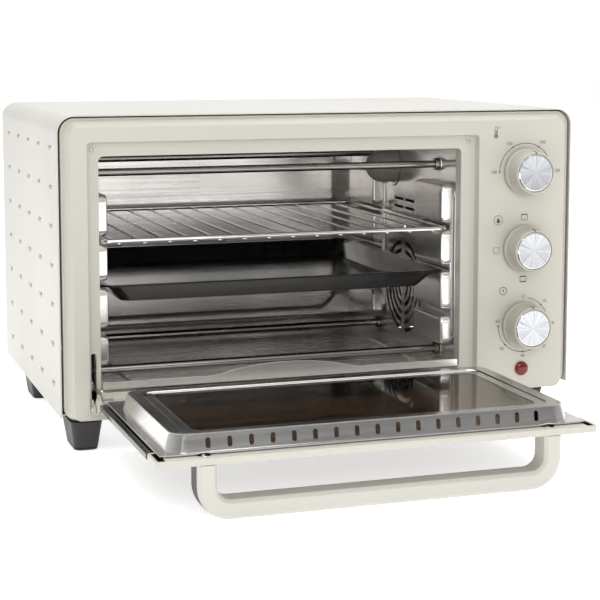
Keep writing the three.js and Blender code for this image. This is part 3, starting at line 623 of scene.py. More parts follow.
def cuboid(bm, left, front, bottom, right, rear, top):
    size = Matrix.Diagonal((right - left, rear - front, top - bottom, 1))
    centre = Matrix.Translation(((left + right) / 2, (front + rear) / 2, (bottom + top) / 2))
    return bmesh.ops.create_cube(bm, size=1, matrix=centre @ size)["verts"]


def rounded_block(bm, box, radius, segments=3):
    verts = cuboid(bm, *box)
    edges = list({edge for vert in verts for edge in vert.link_edges})
    bmesh.ops.bevel(bm, geom=edges, offset=radius, offset_type="OFFSET", affect="EDGES",
                    segments=segments, profile=0.5, material=-1)


def plate_from(bm, outline, surface, low, high):
    """A flat plate: an outline filled at one height and drawn out to another."""
    verts = [bm.verts.new(surface(a, b, low)) for a, b in outline]
    made = bmesh.ops.extrude_face_region(bm, geom=[bm.faces.new(verts)], use_keep_orig=True)
    drawn_out(bm, made, Vector(surface(0, 0, high)) - Vector(surface(0, 0, low)))


def lofted(bm, outlines):
    """Adds a closed shape through rings that have the same number of points."""
    rings = [closed_line(bm, outline) for outline in outlines]
    banded(bm, rings)
    bmesh.ops.holes_fill(bm, edges=rings[0] + rings[-1], sides=len(outlines[0]))


def holed_plate(bm, outline, holes, surface, low, high):
    """Adds a flat plate with holes through it."""
    plate = Pressing(surface, bm)
    layers = [[plate.ring(ring, height) for ring in (outline, *holes)] for height in (low, high)]
    for below, above in zip(*layers):
        plate.band(below, above)
    for layer in layers:
        plate.flat(*layer)


# ---- Body ----
LOUVRE_COLUMNS = [38, 93, 147, 201, 257]
LOUVRE_ROWS = [244, 212, 180, 148, 116, 83.5, 51]
LOUVRE_HALF_WIDTH, LOUVRE_HALF_HEIGHT = 7.5, 2.3


def on_louvre(face):
    spot = face.calc_center_median()
    return any(abs(spot.y - y) < 1 and abs(spot.z - z) < 1
               for y in LOUVRE_COLUMNS for z in LOUVRE_ROWS)


def outer_wrap():
    left, front, bottom, right, rear, top = span("outer_wrap")
    corner, hem = 14, 0.8
    arch = [(left, bottom), *arc((left + corner, top - corner), corner, 180, 90, 8),
            *arc((right - corner, top - corner), corner, 90, 0, 8), (right, bottom)]
    bm = bmesh.new()
    bent_sheet(bm, [(x, front + hem, z) for x, z in arch], (0, rear - front - hem, 0))
    cuts = [((0, y + side * LOUVRE_HALF_WIDTH, 0), (0, 1, 0))
            for y in LOUVRE_COLUMNS for side in (-1, 1)]
    cuts += [((0, 0, z + side * LOUVRE_HALF_HEIGHT), (0, 0, 1))
             for z in LOUVRE_ROWS for side in (-1, 1)]
    for place, normal in cuts:
        bmesh.ops.bisect_plane(bm, geom=[*bm.verts, *bm.edges, *bm.faces], plane_co=place,
                               plane_no=normal, dist=1e-4)
    louvres = [face for face in bm.faces
               if abs(abs(face.calc_center_median().x) - right) < 0.01 and on_louvre(face)]
    bmesh.ops.recalc_face_normals(bm, faces=bm.faces)
    if sum(face.normal.z for face in bm.faces) < 0:
        bmesh.ops.reverse_faces(bm, faces=bm.faces)
    corners = list({vert for face in louvres for vert in face.verts})
    bmesh.ops.bevel(bm, geom=corners, offset=2.2, offset_type="OFFSET", affect="VERTICES",
                    segments=3, profile=0.5, material=-1)
    pressed = [face for face in bm.faces if 10 < len(face.verts) < 30 and on_louvre(face)]
    for thickness, depth in ((0.55, -0.55), (0.8, -0.6), (0.35, -0.05)):
        bmesh.ops.inset_individual(bm, faces=pressed, thickness=thickness, depth=depth)
    piece = finished(bm, "folded_wrap", body_paint, "housing", ["outer_wrap"], "cream_paint",
                     facing=(0, 0, 1), sheet=1.1, sharp=40)
    edge = piece.modifiers.new("edge", "BEVEL")
    edge.width = 0.35 * MM
    edge.segments = 2
    edge.limit_method = "ANGLE"
    edge.angle_limit = math.radians(60)


def front_panel():
    left, _, bottom, right, _, top = span("front_panel")
    seat_left, seat_right, seat_bottom, seat_top = -203.0, 134.2, 31.0, 248.7
    seat_depth, mouth_depth = 6.5, 17.4
    mouth = (-192.7, 46.0, 121.5, 237.1)
    hinge_slot = (-200.9, 33.4, -196.4, 78.6)
    catch_slot = (130.6, 33.9, 132.6, 43.4)

    def edge(inset):
        corner = max(12 - inset * 0.87, 3)
        return rounded(left + inset, bottom + min(inset, 1.2), right - inset, top - inset, corner, 8)

    def seat(inset):
        slope = inset * 1.5
        return rounded(seat_left + inset, seat_bottom + inset, seat_right - slope + 1.5,
                       seat_top - inset, 3, 4)

    sheet = Pressing(on_front)
    edge_profile = soft([(0.0, -14.0), (0.0, -7.9), (1.3, -7.6), (7.1, 0.0), (8.6, 0.0)], 1.2)
    _, face_edge = sheet.step(edge, edge_profile)
    seat_profile = soft([(-1.2, 0.0), (0.1, 0.0), (0.9, -seat_depth), (1.8, -seat_depth)], 1.1)
    seat_edge, seat_floor = sheet.step(seat, seat_profile)
    mouth_profile = soft([(-1.6, -seat_depth), (0.0, -seat_depth), (0.0, -mouth_depth)], 1.1)
    mouth_edge, _ = sheet.step(around_box(mouth, 4, 4), mouth_profile)
    bores = []
    for control in CONTROLS:
        centre = middle(f"{control}_knob")
        bores.append(sheet.step(around_hole(centre.x, centre.z, 4.2, 20),
                                [(0.6, 0.0), (0.0, -0.5), (0.0, -2.0)])[0])
    lens = middle("indicator_lens")
    bores.append(sheet.step(around_hole(lens.x, lens.z, 5.2, 20),
                            [(0.4, 0.0), (0.0, -0.4), (0.0, -2.0)])[0])
    sheet.flat(face_edge, seat_edge, *bores)
    slot_profile = [(0.0, -seat_depth), (0.15, -seat_depth - 0.4), (0.15, -seat_depth - 1.2)]
    slots = [sheet.step(around_box(box, 0.9, 3, follow=0), slot_profile)[0]
             for box in (hinge_slot, catch_slot)]
    sheet.flat(seat_floor, mouth_edge, *slots)
    finished(sheet.bm, "pressed_front", panel_paint, "housing", ["front_panel"], "cream_paint",
             facing=(0, -1, 0), sheet=1.0, sharp=28)


def panel_screws():
    for side in ("left", "right"):
        node = f"{side}_panel_screw"
        spot = middle(node)
        front = span(node)[1]
        profile = [(0, front + 0.1), (0.9, front + 0.15), (1.6, front + 0.45), (1.85, front + 0.9),
                   (1.0, front + 1.1), (1.0, front + 6), (0, front + 6)]
        turned(f"{side}_seat_screw", zinc_sheet, "housing", profile, "y", (spot.x, 0, spot.z), 20,
               [node], "galvanised")


def feet():
    shoulder = 24.1
    for name in ("front_left_foot", "rear_left_foot", "front_right_foot", "rear_right_foot"):
        left, front, _, right, rear, top = span(name)
        foot = Pressing(on_floor)
        profile = [(4.4, 0.0), (3.9, 0.35), (3.7, 1.6), (4.0, 1.9), (3.5, 2.3),
                   (0.5, shoulder - 1.2), (0.25, shoulder - 0.4), (0.9, shoulder)]
        sole, crown = foot.step(around_box((left, front, right, rear), 5, follow=0), profile)
        foot.flat(sole)
        neck = rounded(left + 5, max(front + 4, 16), right - 5, rear - 4, 2, 5)
        neck_low = foot.ring(neck, shoulder)
        neck_top = foot.ring(neck, top)
        foot.band(neck_low, neck_top)
        foot.flat(neck_top)
        foot.flat(crown, neck_low)
        finished(foot.bm, f"{name}_moulding", black_plastic, "housing", [name], "black_plastic",
                 sharp=40)


def rear_panel():
    left, _, bottom, right, rear, top = span("rear_panel")
    gland = middle("cord_gland")
    sheet = Pressing(lambda a, b, height: (a, rear + height, b))
    outline = around_box((left, bottom, right, top), 12.5, follow=0)
    edge = sheet.ring(outline(0), -0.5)
    rim = sheet.ring(outline(0.6), 0)
    field_edge, field = sheet.step(outline, soft([(16, 0), (17.5, 0), (19, -1.0), (21, -1.0)], 0.8))
    sheet.band(edge, rim)
    sheet.flat(rim, field_edge)
    slots = []
    for z, columns in ((200, 7), (215, 7), (60, 4), (75, 4)):
        for column in range(columns):
            x = -150 + column * 45
            slots.append(sheet.step(around_box((x, z, x + 30, z + 4), 1.6, 3, follow=0),
                                    [(-0.8, -1.0), (-0.2, -0.7), (0.1, -1.0), (0.1, -1.6)])[0])
    hole = sheet.ring(circle(gland.x, gland.z, 7.4, 24), -1.0)
    sheet.flat(field, hole, *slots)
    finished(sheet.bm, "rear_cover", zinc_sheet, "housing", ["rear_panel"], "galvanised",
             facing=(0, 1, 0), sheet=0.6, sharp=28)
    bm = bmesh.new()
    screws = [(x, z) for x in (left + 9, right - 9) for z in (bottom + 30, top - 30)]
    for x, z in screws + [(0, top - 9), (0, bottom + 9)]:
        spun(bm, [(0, 0.7), (1.2, 0.7), (2.9, 0.5), (3.4, -0.3), (3.4, -0.9), (0, -0.9)],
             "y", (x, rear, z), 16)
        for turn in (0, 90):
            slot_cut = cuboid(bm, -1.7, -0.1, -0.3, 1.7, 0.78, 0.3)
            spin = Matrix.Translation((x, rear, z)) @ Matrix.Rotation(math.radians(turn), 4, "Y")
            bmesh.ops.transform(bm, matrix=spin, verts=slot_cut)
    finished(bm, "rear_cover_screws", drawn_steel, "housing", slot="bright_steel")


def cord_gland():
    _, front, _, _, rear, _ = span("cord_gland")
    spot = middle("cord_gland")
    profile = [(0, front), (8.8, front + 0.3), (9, front + 5.9), (7.1, front + 6.2),
               (7.1, rear - 6), (10, rear - 6), (9.8, rear - 4), (8.6, rear - 3), (8.3, rear - 1),
               (7.6, rear - 0.2), (6, rear), (4.6, rear), (3.6, rear - 0.8), (3.6, front + 7),
               (0, front + 7)]
    turned("inlet_bush", black_plastic, "housing", profile, "y", (spot.x, 0, spot.z), 32,
           ["cord_gland"], "black_plastic")


# ---- Cooking cavity ----
def cavity_liner():
    left, front, bottom, right, rear, top = span("cavity_liner")
    floor, roof, back = bottom + 1, top - 1, rear - 1
    bend = 5
    path = [(front, floor), *arc((back - bend, floor + bend), bend, -90, 0, 4),
            *arc((back - bend, roof - bend), bend, 0, 90, 4), (front, roof)]
    sheet = Pressing(lambda a, b, height: (a, back - height, b))
    bm = sheet.bm
    bent_sheet(bm, [(left, y, z) for y, z in path], (right - left, 0, 0))
    back_face = max((f for f in bm.faces if f.calc_center_median().y > back - 0.5),
                    key=lambda f: f.calc_area())
    bmesh.ops.delete(bm, geom=[back_face], context="FACES")
    border = {e for e in bm.edges if e.is_boundary and all(v.co.y > back - 0.01 for v in e.verts)}
    corners = sorted({v for e in border for v in e.verts}, key=lambda v: (v.co.x, v.co.z))
    for pair in (corners[:2], corners[2:]):
        border.add(bm.edges.get(pair) or bm.edges.new(pair))
    outer, inner = sheet.step(around_box((-183, 54, 110, 231), 25, 8, 4),
                              soft([(0, 0), (1.5, 0), (6.5, 3.2), (9, 3.2)], 2.2, 4))
    sheet.flat(list(border), outer)
    sheet.flat(inner)
    finished(bm, "cavity_shell", cavity_steel, "housing", ["cavity_liner"], "cavity_steel",
             sheet=0.8, sharp=35)


PAD_SPANS = [(22, 88), (187, 259)]
PAD_LOW, PAD_HIGH = 64, 205
SHELF_GROOVES = [(89, 95), (128.4, 134), (164.6, 170.6)]
PAD_HEIGHT, LEDGE_HEIGHT = 3.5, 12.0


def grille_slots(fan, steps=10):
    """Outlines of the half-ring slots in the fan grille."""
    slots = []
    for ring in range(5):
        inner = 8.0 + ring * 8
        outer = inner + 4.0
        for turn in (0, 180):
            reach_out = math.degrees(math.asin(4 / outer))
            reach_in = math.degrees(math.asin(4 / inner))
            outside = arc((fan.y, fan.z), outer, turn - 90 + reach_out, turn + 90 - reach_out, steps)
            inside = arc((fan.y, fan.z), inner, turn + 90 - reach_in, turn - 90 + reach_in, steps)
            slots.append(outside + inside)
    return slots


def side_wall(name, side):
    left, front, bottom, right, rear, top = span(name)
    base = left + 1 if side < 0 else right - 1
    sheet = Pressing(lambda a, b, height: (base - side * height, a, b))
    edge = sheet.ring([(front, bottom), (rear, bottom), (rear, top), (front, top)], 0)
    openings = []
    edges = [PAD_LOW, *[z for groove in SHELF_GROOVES for z in groove], PAD_HIGH]
    pad_profile = soft([(-2.2, 0), (0, 0), (0.5, PAD_HEIGHT), (0.9, PAD_HEIGHT)], 1.2, 3)
    ledge_profile = soft([(0.0, PAD_HEIGHT), (0.15, PAD_HEIGHT), (1.1, LEDGE_HEIGHT),
                          (4.5, LEDGE_HEIGHT)], 1.7, 3)
    for near, far in PAD_SPANS:
        outer, raised_edge = sheet.step(around_box((near, PAD_LOW, far, PAD_HIGH), 14, 5, 3),
                                        pad_profile)
        openings.append(outer)
        feet_of_ledges = []
        for low, high in zip(edges[::2], edges[1::2]):
            foot, crown = sheet.step(around_box((near + 1.2, low, far - 1.2, high), 6, 4, 1.5),
                                     ledge_profile)
            feet_of_ledges.append(foot)
            sheet.flat(crown)
        sheet.flat(raised_edge, *feet_of_ledges)
    for element in ELEMENTS:
        centre = middle(element)
        openings.append(sheet.step(around_hole(centre.y, centre.z, 5.9, 24),
                                   [(1.6, 0.0), (0.8, 0.7), (0.0, 0.7), (0.0, -0.6)])[0])
    if side > 0:
        openings += [sheet.ring(outline, 0) for outline in grille_slots(middle("fan_rotor"))]
        lamp = middle("lamp_glass")
        openings.append(sheet.step(around_hole(lamp.y, lamp.z, 15.8, 32),
                                   [(3.5, 0.0), (2.2, 1.0), (0.8, 1.0), (0.0, 0.2)])[0])
        for y in (116, 142):
            for z in (172, 179.5):
                openings.append(sheet.step(around_box((y, z, y + 22, z + 2.6), 1.1, 3, follow=0),
                                           [(-0.5, 0.0), (0, -0.3), (0, -0.8)])[0])
        boss, boss_top = sheet.step(around_box((134, 147, 147, 160), 2.5, 3, follow=0),
                                    soft([(-1, 0), (0, 0), (1.2, 2.4), (2.5, 2.4)], 1.0, 2))
        openings.append(boss)
        sheet.flat(boss_top)
    sheet.flat(edge, *openings)
    finished(sheet.bm, f"{name}_pressing", wall_steel, "housing", [name], "cavity_steel",
             facing=(-side, 0, 0), sheet=0.8, sharp=35)


ELEMENTS = ["upper_front_element", "upper_rear_element", "lower_front_element",
            "lower_rear_element"]


def heating_elements():
    for name in ELEMENTS:
        left, _, _, right, _, _ = span(name)
        centre = middle(name)
        bm = bmesh.new()
        profile = [(3.25, left + 13.5)]
        profile += [(3.25, left + 16 + i * (right - left - 32) / 12) for i in range(13)]
        profile += [(3.25, right - 13.5)]
        spun(bm, profile, "x", (0, centre.y, centre.z), 20)
        finished(bm, f"{name}_sheath", element_steel, "housing", [name], "bright_steel")
        bm = bmesh.new()
        for end, outward in ((left, -1), (right, 1)):
            inner = end - outward * 14
            spun(bm, [(3.3, inner), (4.9, inner), (5.5, inner + outward * 0.8),
                      (5.5, inner + outward * 3), (4.9, inner + outward * 3.4),
                      (4.9, inner + outward * 4.6), (5.5, inner + outward * 5),
                      (5.5, end - outward * 4.6), (4.9, end - outward * 4), (0, end - outward * 4)],
                 "x", (0, centre.y, centre.z), 24)
        finished(bm, f"{name}_collars", element_steel, "housing", slot="bright_steel")
        bm = bmesh.new()
        for end, outward in ((left, -1), (right, 1)):
            rod(bm, [(end - outward * 4.2, centre.y, centre.z), (end - outward * 1.4, centre.y,
                                                                 centre.z)], 1.5, 10)
        finished(bm, f"{name}_terminals", drawn_steel, "housing", slot="bright_steel")

# ---- Fan and lamp ----
def fan_rotor():
    left, _, _, right, _, _ = span("fan_rotor")
    _, centre_y, centre_z = middle("fan_rotor")
    centre = (0, centre_y, centre_z)
    blades = bmesh.new()
    blade_count, stations = 6, 7
    root_reach, reach_step = 8, 4.9
    root_pitch, pitch_step = 48, 3.2
    half_thickness = 0.4
    for blade in range(blade_count):
        rings = []
        for i in range(stations):
            reach = root_reach + i * reach_step
            half = 2.6 + 1.5 * math.sin(math.pi * min(i + 1, stations - 1) / stations)
            pitch = math.radians(root_pitch - pitch_step * i)
            along = Vector((math.cos(pitch), math.sin(pitch), 0)) * half
            thick = Vector((-math.sin(pitch), math.cos(pitch), 0)) * half_thickness
            bow = 1.2 * math.sin(math.pi * i / (stations - 1))
            spot = Vector((left + 4.5, bow, reach))
            rings.append([spot - along - thick, spot + along - thick, spot + along + thick,
                          spot - along + thick])
        made = bmesh.new()
        lofted(made, rings)
        turn = Matrix.Translation(centre) @ Matrix.Rotation(blade * math.tau / blade_count, 4, "X")
        bmesh.ops.transform(made, matrix=turn, verts=made.verts)
        mesh = bpy.data.meshes.new("blade")
        made.to_mesh(mesh)
        made.free()
        blades.from_mesh(mesh)
        bpy.data.meshes.remove(mesh)
    spun(blades, [(0, left + 0.2), (2.2, left + 0.3), (2.6, left + 1.2), (6.4, left + 1.4),
                  (8.2, left + 2), (9, left + 3), (9, left + 8.2), (8.4, left + 9), (2.5, left + 9),
                  (2.5, right), (0, right)], "x", centre, 32)
    finished(blades, "fan_wheel", zinc_sheet, "fan", ["fan_rotor"], "galvanised")


def lamp_parts():
    crown, _, _, skirt, _, _ = span("lamp_glass")
    spot = middle("lamp_glass")
    centre = (0, spot.y, spot.z)
    radius = 15.5
    outside = [(radius, skirt), (radius, skirt - 1.5)]
    for i in range(5):
        outside += [(radius - 0.5, skirt - 3 - i * 2.4), (radius - 0.05, skirt - 4.2 - i * 2.4)]
    outside += [(radius - 0.9, crown + 10.5), (radius - 3, crown + 6), (radius - 6.2, crown + 2.6),
                (5, crown + 0.5), (0, crown)]
    inside = [(0, crown + 1.5), (5, crown + 2), (radius - 7, crown + 4), (radius - 4.2, crown + 7),
              (radius - 2.2, crown + 11), (radius - 1.7, skirt - 14), (radius - 1.6, skirt)]
    turned("lamp_dome", lamp_frosted, "housing", outside + inside + [(radius, skirt)], "x", centre,
           48, ["lamp_glass"], "clear_glass", sharp=60)
    tip, _, _, contact, _, _ = span("lamp_bulb")
    base = tip + 14.4
    bulb = [(0, tip), (3, tip + 0.5), (5.8, tip + 2), (7.6, tip + 4.6), (8, tip + 7.4),
            (7.2, tip + 10), (5.4, tip + 12.6), (4.3, base), (0, base)]
    turned("bulb_glass", bulb_clear, "housing", bulb, "x", centre, 32, ["lamp_bulb"],
           "clear_glass", sharp=60)
    threads = [(4.4, base)]
    for i in range(5):
        threads += [(4.5, base + 0.6 + i * 1.5), (4.1, base + 1.3 + i * 1.5)]
    turned("bulb_cap", brass, "housing", [(0, base), *threads, (2, contact), (0, contact)], "x",
           centre, 32, slot="bright_steel")
    bm = bmesh.new()
    for side in (-1, 1):
        rod(bm, [(base, spot.y + side * 1.2, spot.z), (tip + 7, spot.y + side * 2.4, spot.z)],
            0.25, 6)
    turns = [(tip + 7 + 0.5 * math.sin(i * 1.57), spot.y - 2.4 + i * 4.8 / 40,
              spot.z + 0.5 * math.cos(i * 1.57)) for i in range(41)]
    rod(bm, turns, 0.12, 5)
    finished(bm, "bulb_filament", drawn_steel, "housing", slot="bright_steel")


# ---- Controls ----
CONTROLS = ["temperature", "mode", "timer"]
RIBS = 72


def knob(control):
    node = f"{control}_knob"
    _, front, _, _, _, _ = span(node)
    centre = middle(node)
    place = (centre.x, 0, centre.z)
    bm = bmesh.new()
    spun(bm, [(0, -2.4), (17.2, -2.4), (17.6, -1.3), (19.8, -1.2), (20.4, -1.6), (20.5, -2.2),
              (20.5, -3.9), (20.2, -4.4), (19.55, -4.8), (19.4, -5.3), (19.3, -6.2), (19.05, -9),
              (18.75, -12), (18.45, -15), (18.2, -17.4), (18.1, -18.2), (18.05, -18.9),
              (17.85, -19.6), (17.4, -20.05), (17.0, front + 0.02), (16.6, -20.05), (16.36, -19.6),
              (16.3, -18.7), (0, -18.65)], "y", place, RIBS * 4)
    for vert in bm.verts:
        arm = Vector((vert.co.x - centre.x, vert.co.z - centre.z))
        if arm.length > 17.9 and -18.6 < vert.co.y < -5.0:
            turn = math.atan2(arm.y, arm.x)
            depth = 0.1 * (1 + math.cos(turn * RIBS))
            arm = arm * (1 - depth / arm.length)
            vert.co.x, vert.co.z = centre.x + arm.x, centre.z + arm.y
    body = f"{control}_control"
    finished(bm, f"{control}_grip", knob_plastic, body, [node], "knob_plastic", sharp=50)
    bm = bmesh.new()
    rings = []
    for y, top in ((front, 17.6), (front + 0.35, 18.15), (-18.9, 18.25), (-14.2, 18.62)):
        rings.append([(centre.x + side * 0.55, y, centre.z + z)
                      for side, z in ((-1, 16.7), (1, 16.7), (1, top), (-1, top))])
    lofted(bm, rings)
    finished(bm, f"{control}_pointer", pointer_ink, body, slot="knob_plastic")
    cap = f"{control}_knob_cap"
    _, cap_front, _, _, cap_rear, _ = span(cap)
    bm = bmesh.new()
    face = [(0, cap_front + 0.32), (4, cap_front + 0.3), (9, cap_front + 0.22),
            (14.4, cap_front + 0.06), (14.9, cap_front + 0.02)]
    edge = [(15.2, cap_front + 0.08), (15.95, cap_front + 0.75), (16, cap_front + 0.95),
            (16, cap_rear), (0, cap_rear)]
    spun(bm, face + edge, "y", place, 96)
    for one in bm.faces:
        spot = one.calc_center_median()
        if math.hypot(spot.x - centre.x, spot.z - centre.z) > 14.95:
            one.material_index = 1
    finished(bm, f"{control}_cap", spun_aluminium(control, centre), body, [cap], "knob_cap",
             sharp=24, looks=(cut_edge,))


INK_BACK, INK_FRONT = -0.03, 0.07
INK = (on_front, INK_BACK, INK_FRONT)


def ink_band(bm, centre, radius, start, end, width):
    """Adds a printed arc; angles in degrees from the right, counter-clockwise."""
    steps = max(8, round(abs(end - start) / 6))
    outline = arc(centre, radius + width / 2, start, end, steps)
    outline += arc(centre, radius - width / 2, end, start, steps)
    plate_from(bm, outline, *INK)


def ink_ring(bm, centre, radius, width):
    holed_plate(bm, circle(*centre, radius + width / 2, 28),
                [circle(*centre, radius - width / 2, 28)], *INK)


def ink_dot(bm, centre, radius):
    plate_from(bm, circle(*centre, radius, 16), *INK)


def ink_bar(bm, left, low, right, high):
    plate_from(bm, [(left, low), (right, low), (right, high), (left, high)], *INK)


def ink_frame(bm, left, low, right, high, width):
    """Adds a printed outline of a rectangle with round corners."""
    hole = rounded(left + width, low + width, right - width, high - width, 0.5, 3)
    holed_plate(bm, rounded(left, low, right, high, 0.8, 3), [hole], *INK)


def ink_number(bm, text, size, x, z):
    """Adds a printed number, centred at a place."""
    letters = bpy.data.curves.new("number", "FONT")
    letters.body = text
    letters.size = size
    letters.align_x = "CENTER"
    letters.align_y = "CENTER"
    letters.resolution_u = 4
    letters.extrude = (INK_FRONT - INK_BACK) / 2
    maker = bpy.data.objects.new("number", letters)
    bpy.context.scene.collection.objects.link(maker)
    ready = maker.evaluated_get(bpy.context.evaluated_depsgraph_get())
    mesh = bpy.data.meshes.new_from_object(ready)
    upright = Matrix.Rotation(math.radians(90), 4, "X")
    mesh.transform(Matrix.Translation((x, -(INK_FRONT + INK_BACK) / 2, z)) @ upright)
    bm.from_mesh(mesh)
    bpy.data.objects.remove(maker)
    bpy.data.curves.remove(letters)
    bpy.data.meshes.remove(mesh)


def around(centre, radius, degrees):
    return (centre[0] + radius * math.cos(math.radians(degrees)),
            centre[1] + radius * math.sin(math.radians(degrees)))


def knob_place(control):
    """A knob's middle on the front: its X and its Z."""
    spot = middle(f"{control}_knob")
    return spot.x, spot.z


def temperature_print():
    centre = knob_place("temperature")
    bm = bmesh.new()
    ink_band(bm, centre, 24.5, 180, 0, 0.55)
    for degrees in (180, 120, 60, 0):
        ink_dot(bm, around(centre, 24.5, degrees), 0.75)
    for text, x, z in (("100", -30, 0), ("150", -15.8, 24.4), ("190", 15.8, 24.8), ("230", 30, 0)):
        ink_number(bm, text, 4.1, centre[0] + x, centre[1] + z)
    x, z = centre[0] - 28.3, centre[1] + 34.5
    stem = [*arc((x, z + 3.6), 1.35, 0, 180, 8), *arc((x, z - 3.4), 2.2, 128, 412, 16)]
    inner = [*arc((x, z + 3.6), 0.9, 0, 180, 8), *arc((x, z - 3.4), 1.75, 121, 419, 16)]
    holed_plate(bm, stem, [inner], *INK)
    ink_dot(bm, (x, z - 3.4), 1.2)
    ink_bar(bm, x - 0.4, z - 2.8, x + 0.4, z + 1.4)
    ink_ring(bm, (x + 3.3, z + 3.8), 0.6, 0.3)
    finished(bm, "temperature_marks", panel_ink, "housing", slot="cream_paint")


def oven_sign(bm, x, z, heated):
    """Adds a printed oven with a heavy line at the heated edge or edges."""
    ink_frame(bm, x - 3.1, z - 2.8, x + 3.1, z + 2.8, 0.45)
    for edge in heated:
        ink_bar(bm, x - 2.9, z + edge * 2.3 - 0.45, x + 2.9, z + edge * 2.3 + 0.45)


def mode_print():
    x, z = knob_place("mode")
    bm = bmesh.new()
    oven_sign(bm, x - 0.3, z + 27.4, (1,))
    oven_sign(bm, x - 0.7, z - 26.8, (1, -1))
    ink_frame(bm, x - 29.4, z - 3.6, x - 24.0, z + 1.8, 0.35)
    ink_dot(bm, (x + 26.6, z), 0.75)
    flame_x, flame_z = x - 25.1, z + 25.3
    ink_ring(bm, (flame_x, flame_z), 4.1, 0.45)
    tip = [(1.5, 0.7), (0.7, 0.5), (0.1, 3.0), (-0.9, 1.1), (-1.4, 0.4)]
    flame = arc((flame_x, flame_z - 0.9), 1.75, 190, 350, 10)
    flame += [(flame_x + a, flame_z + b) for a, b in tip]
    plate_from(bm, flame, *INK)
    finished(bm, "mode_marks", panel_ink, "housing", slot="cream_paint")


def timer_print():
    centre = knob_place("timer")
    bm = bmesh.new()
    ink_band(bm, centre, 23.9, 80, -180, 0.5)
    ink_ring(bm, around(centre, 25.2, 90), 1.3, 0.35)
    places = [(45, 28.6, 0), (0, 28.2, 0), (-45, 28.6, 0), (-90, 27.6, 0), (-135, 28.6, 0),
              (-180, 24.6, 4.2)]
    for minutes, (degrees, reach, lift) in zip(("10", "20", "30", "40", "50", "60"), places):
        ink_dot(bm, around(centre, 23.9, degrees), 0.8)
        x, z = around(centre, reach, degrees)
        ink_number(bm, minutes, 3.9, x, z + lift)
    clock = (centre[0] - 19.6, centre[1] + 30.6)
    ink_ring(bm, clock, 3.3, 0.6)
    ink_dot(bm, clock, 0.75)
    ink_bar(bm, clock[0] - 0.2, clock[1], clock[0] + 0.2, clock[1] + 2.2)
    finished(bm, "timer_marks", panel_ink, "housing", slot="cream_paint")


def indicator():
    _, front, _, _, rear, _ = span("indicator_lens")
    spot = middle("indicator_lens")
    centre = (spot.x, 0, spot.z)
    dome = [(6.2 * math.sin(t), front + 2.6 * (1 - math.cos(t)))
            for t in [i * math.pi / 2 / 9 for i in range(10)]]
    lens = [*dome, (6.2, -0.3), (4.8, -0.3), (4.8, rear), (3.9, rear), (3.4, rear - 5),
            (2.2, 0.4), (0.9, -0.5), (0, -0.6)]
    turned("indicator_jewel", red_jewel, "housing", lens, "y", centre, 40, ["indicator_lens"],
           "red_lens", sharp=50)
    lamp = [(0, 1.2), (1.6, 1.6), (1.9, 2.6), (1.9, 6.4), (0, 6.4)]
    turned("indicator_lamp", ceramic_glaze, "housing", lamp, "y", centre, 20, slot="lamp_ceramic")


# ---- Door, lying open ----
def nested(boxes):
    """An outline that goes from one box to the next as t goes up by 1. Boxes are left, front,
    right, rear and corner radius."""
    def outline_at(t):
        first = min(int(t), len(boxes) - 2)
        share = t - first
        box = [a + (b - a) * share for a, b in zip(boxes[first], boxes[first + 1])]
        return rounded(*box, 6)
    return outline_at


HANDLE_ARMS = [middle(f"{each}_handle_screw").x for each in ("left", "right")]
HANDLE_SCREW_Y = middle("left_handle_screw").y


def door_top_rail():
    left, front, bottom, right, rear, top = span("door_top_rail")
    rail = Pressing(on_floor)
    outline = around_box((left, front, right, rear), 3.2)
    profile = soft([(2.5, bottom), (0, bottom), (0, top), (1.3, top), (1.4, top - 0.3),
                    (1.9, top - 0.3)], 0.5, 2)
    sole, crown = rail.step(outline, profile)
    rail.flat(sole)
    sunk = []
    for x in HANDLE_ARMS:
        sunk.append((circle(x, HANDLE_SCREW_Y, 5.2, 24), bottom + 1.6))
    for end, inward in ((left, 1), (right, -1)):
        near, far = sorted((end + inward * 2.3, end + inward * 7.5))
        sunk.append((rounded(near, front + 2.6, far, rear - 2.6, 0.8, 3), bottom + 1.4))
    openings = []
    for shape, floor in sunk:
        mouth = rail.ring(shape, top - 0.3)
        base = rail.ring(shape, floor)
        rail.band(mouth, base)
        rail.flat(base)
        openings.append(mouth)
    rail.flat(crown, *openings)
    # The walls and floors of the sunk pockets take the black moulding: painted shade standing in for
    # the dark of the openings into the rail.
    for face in rail.bm.faces:
        spot = face.calc_center_median()
        in_shaded_pocket = bottom + 1 < spot.z < top - 0.4
        inside = left + 1.6 < spot.x < right - 1.6 and front + 2.3 < spot.y < rear - 2.4
        if in_shaded_pocket and inside:
            face.material_index = 1
    # The second look, the black moulding, is the painted shade in the pockets.
    finished(rail.bm, "door_rail_top", panel_paint, "door", ["door_top_rail"], "cream_paint",
             looks=(black_plastic,))


def glass_pane(name, look, node, corner, ease):
    left, front, bottom, right, rear, top = span(node)
    pane = Pressing(on_floor)
    profile = soft([(2, bottom), (0, bottom), (0, top), (2, top)], ease, 2)
    for face in pane.step(around_box((left, front, right, rear), corner), profile):
        pane.flat(face)
    finished(pane.bm, name, look, "door", [node], "smoked_glass")


def glass_border():
    """The black border printed on the outer pane."""
    left, front, _, right, rear, top = span("door_outer_glass")
    bm = bmesh.new()
    holed_plate(bm, rounded(left + 0.4, front + 0.3, right - 0.4, rear - 0.3, 2, 5),
                [rounded(-166, -188, 94, -75, 7, 6)], on_floor, top + 0.02, top + 0.16)
    finished(bm, "door_glass_border", printed_black, "door", slot="smoked_glass")


HINGE_BORE = 2.1


def hinge_line():
    """The door's turning line: its Y and its Z."""
    pin = middle("left_hinge_pin")
    return pin.y, pin.z


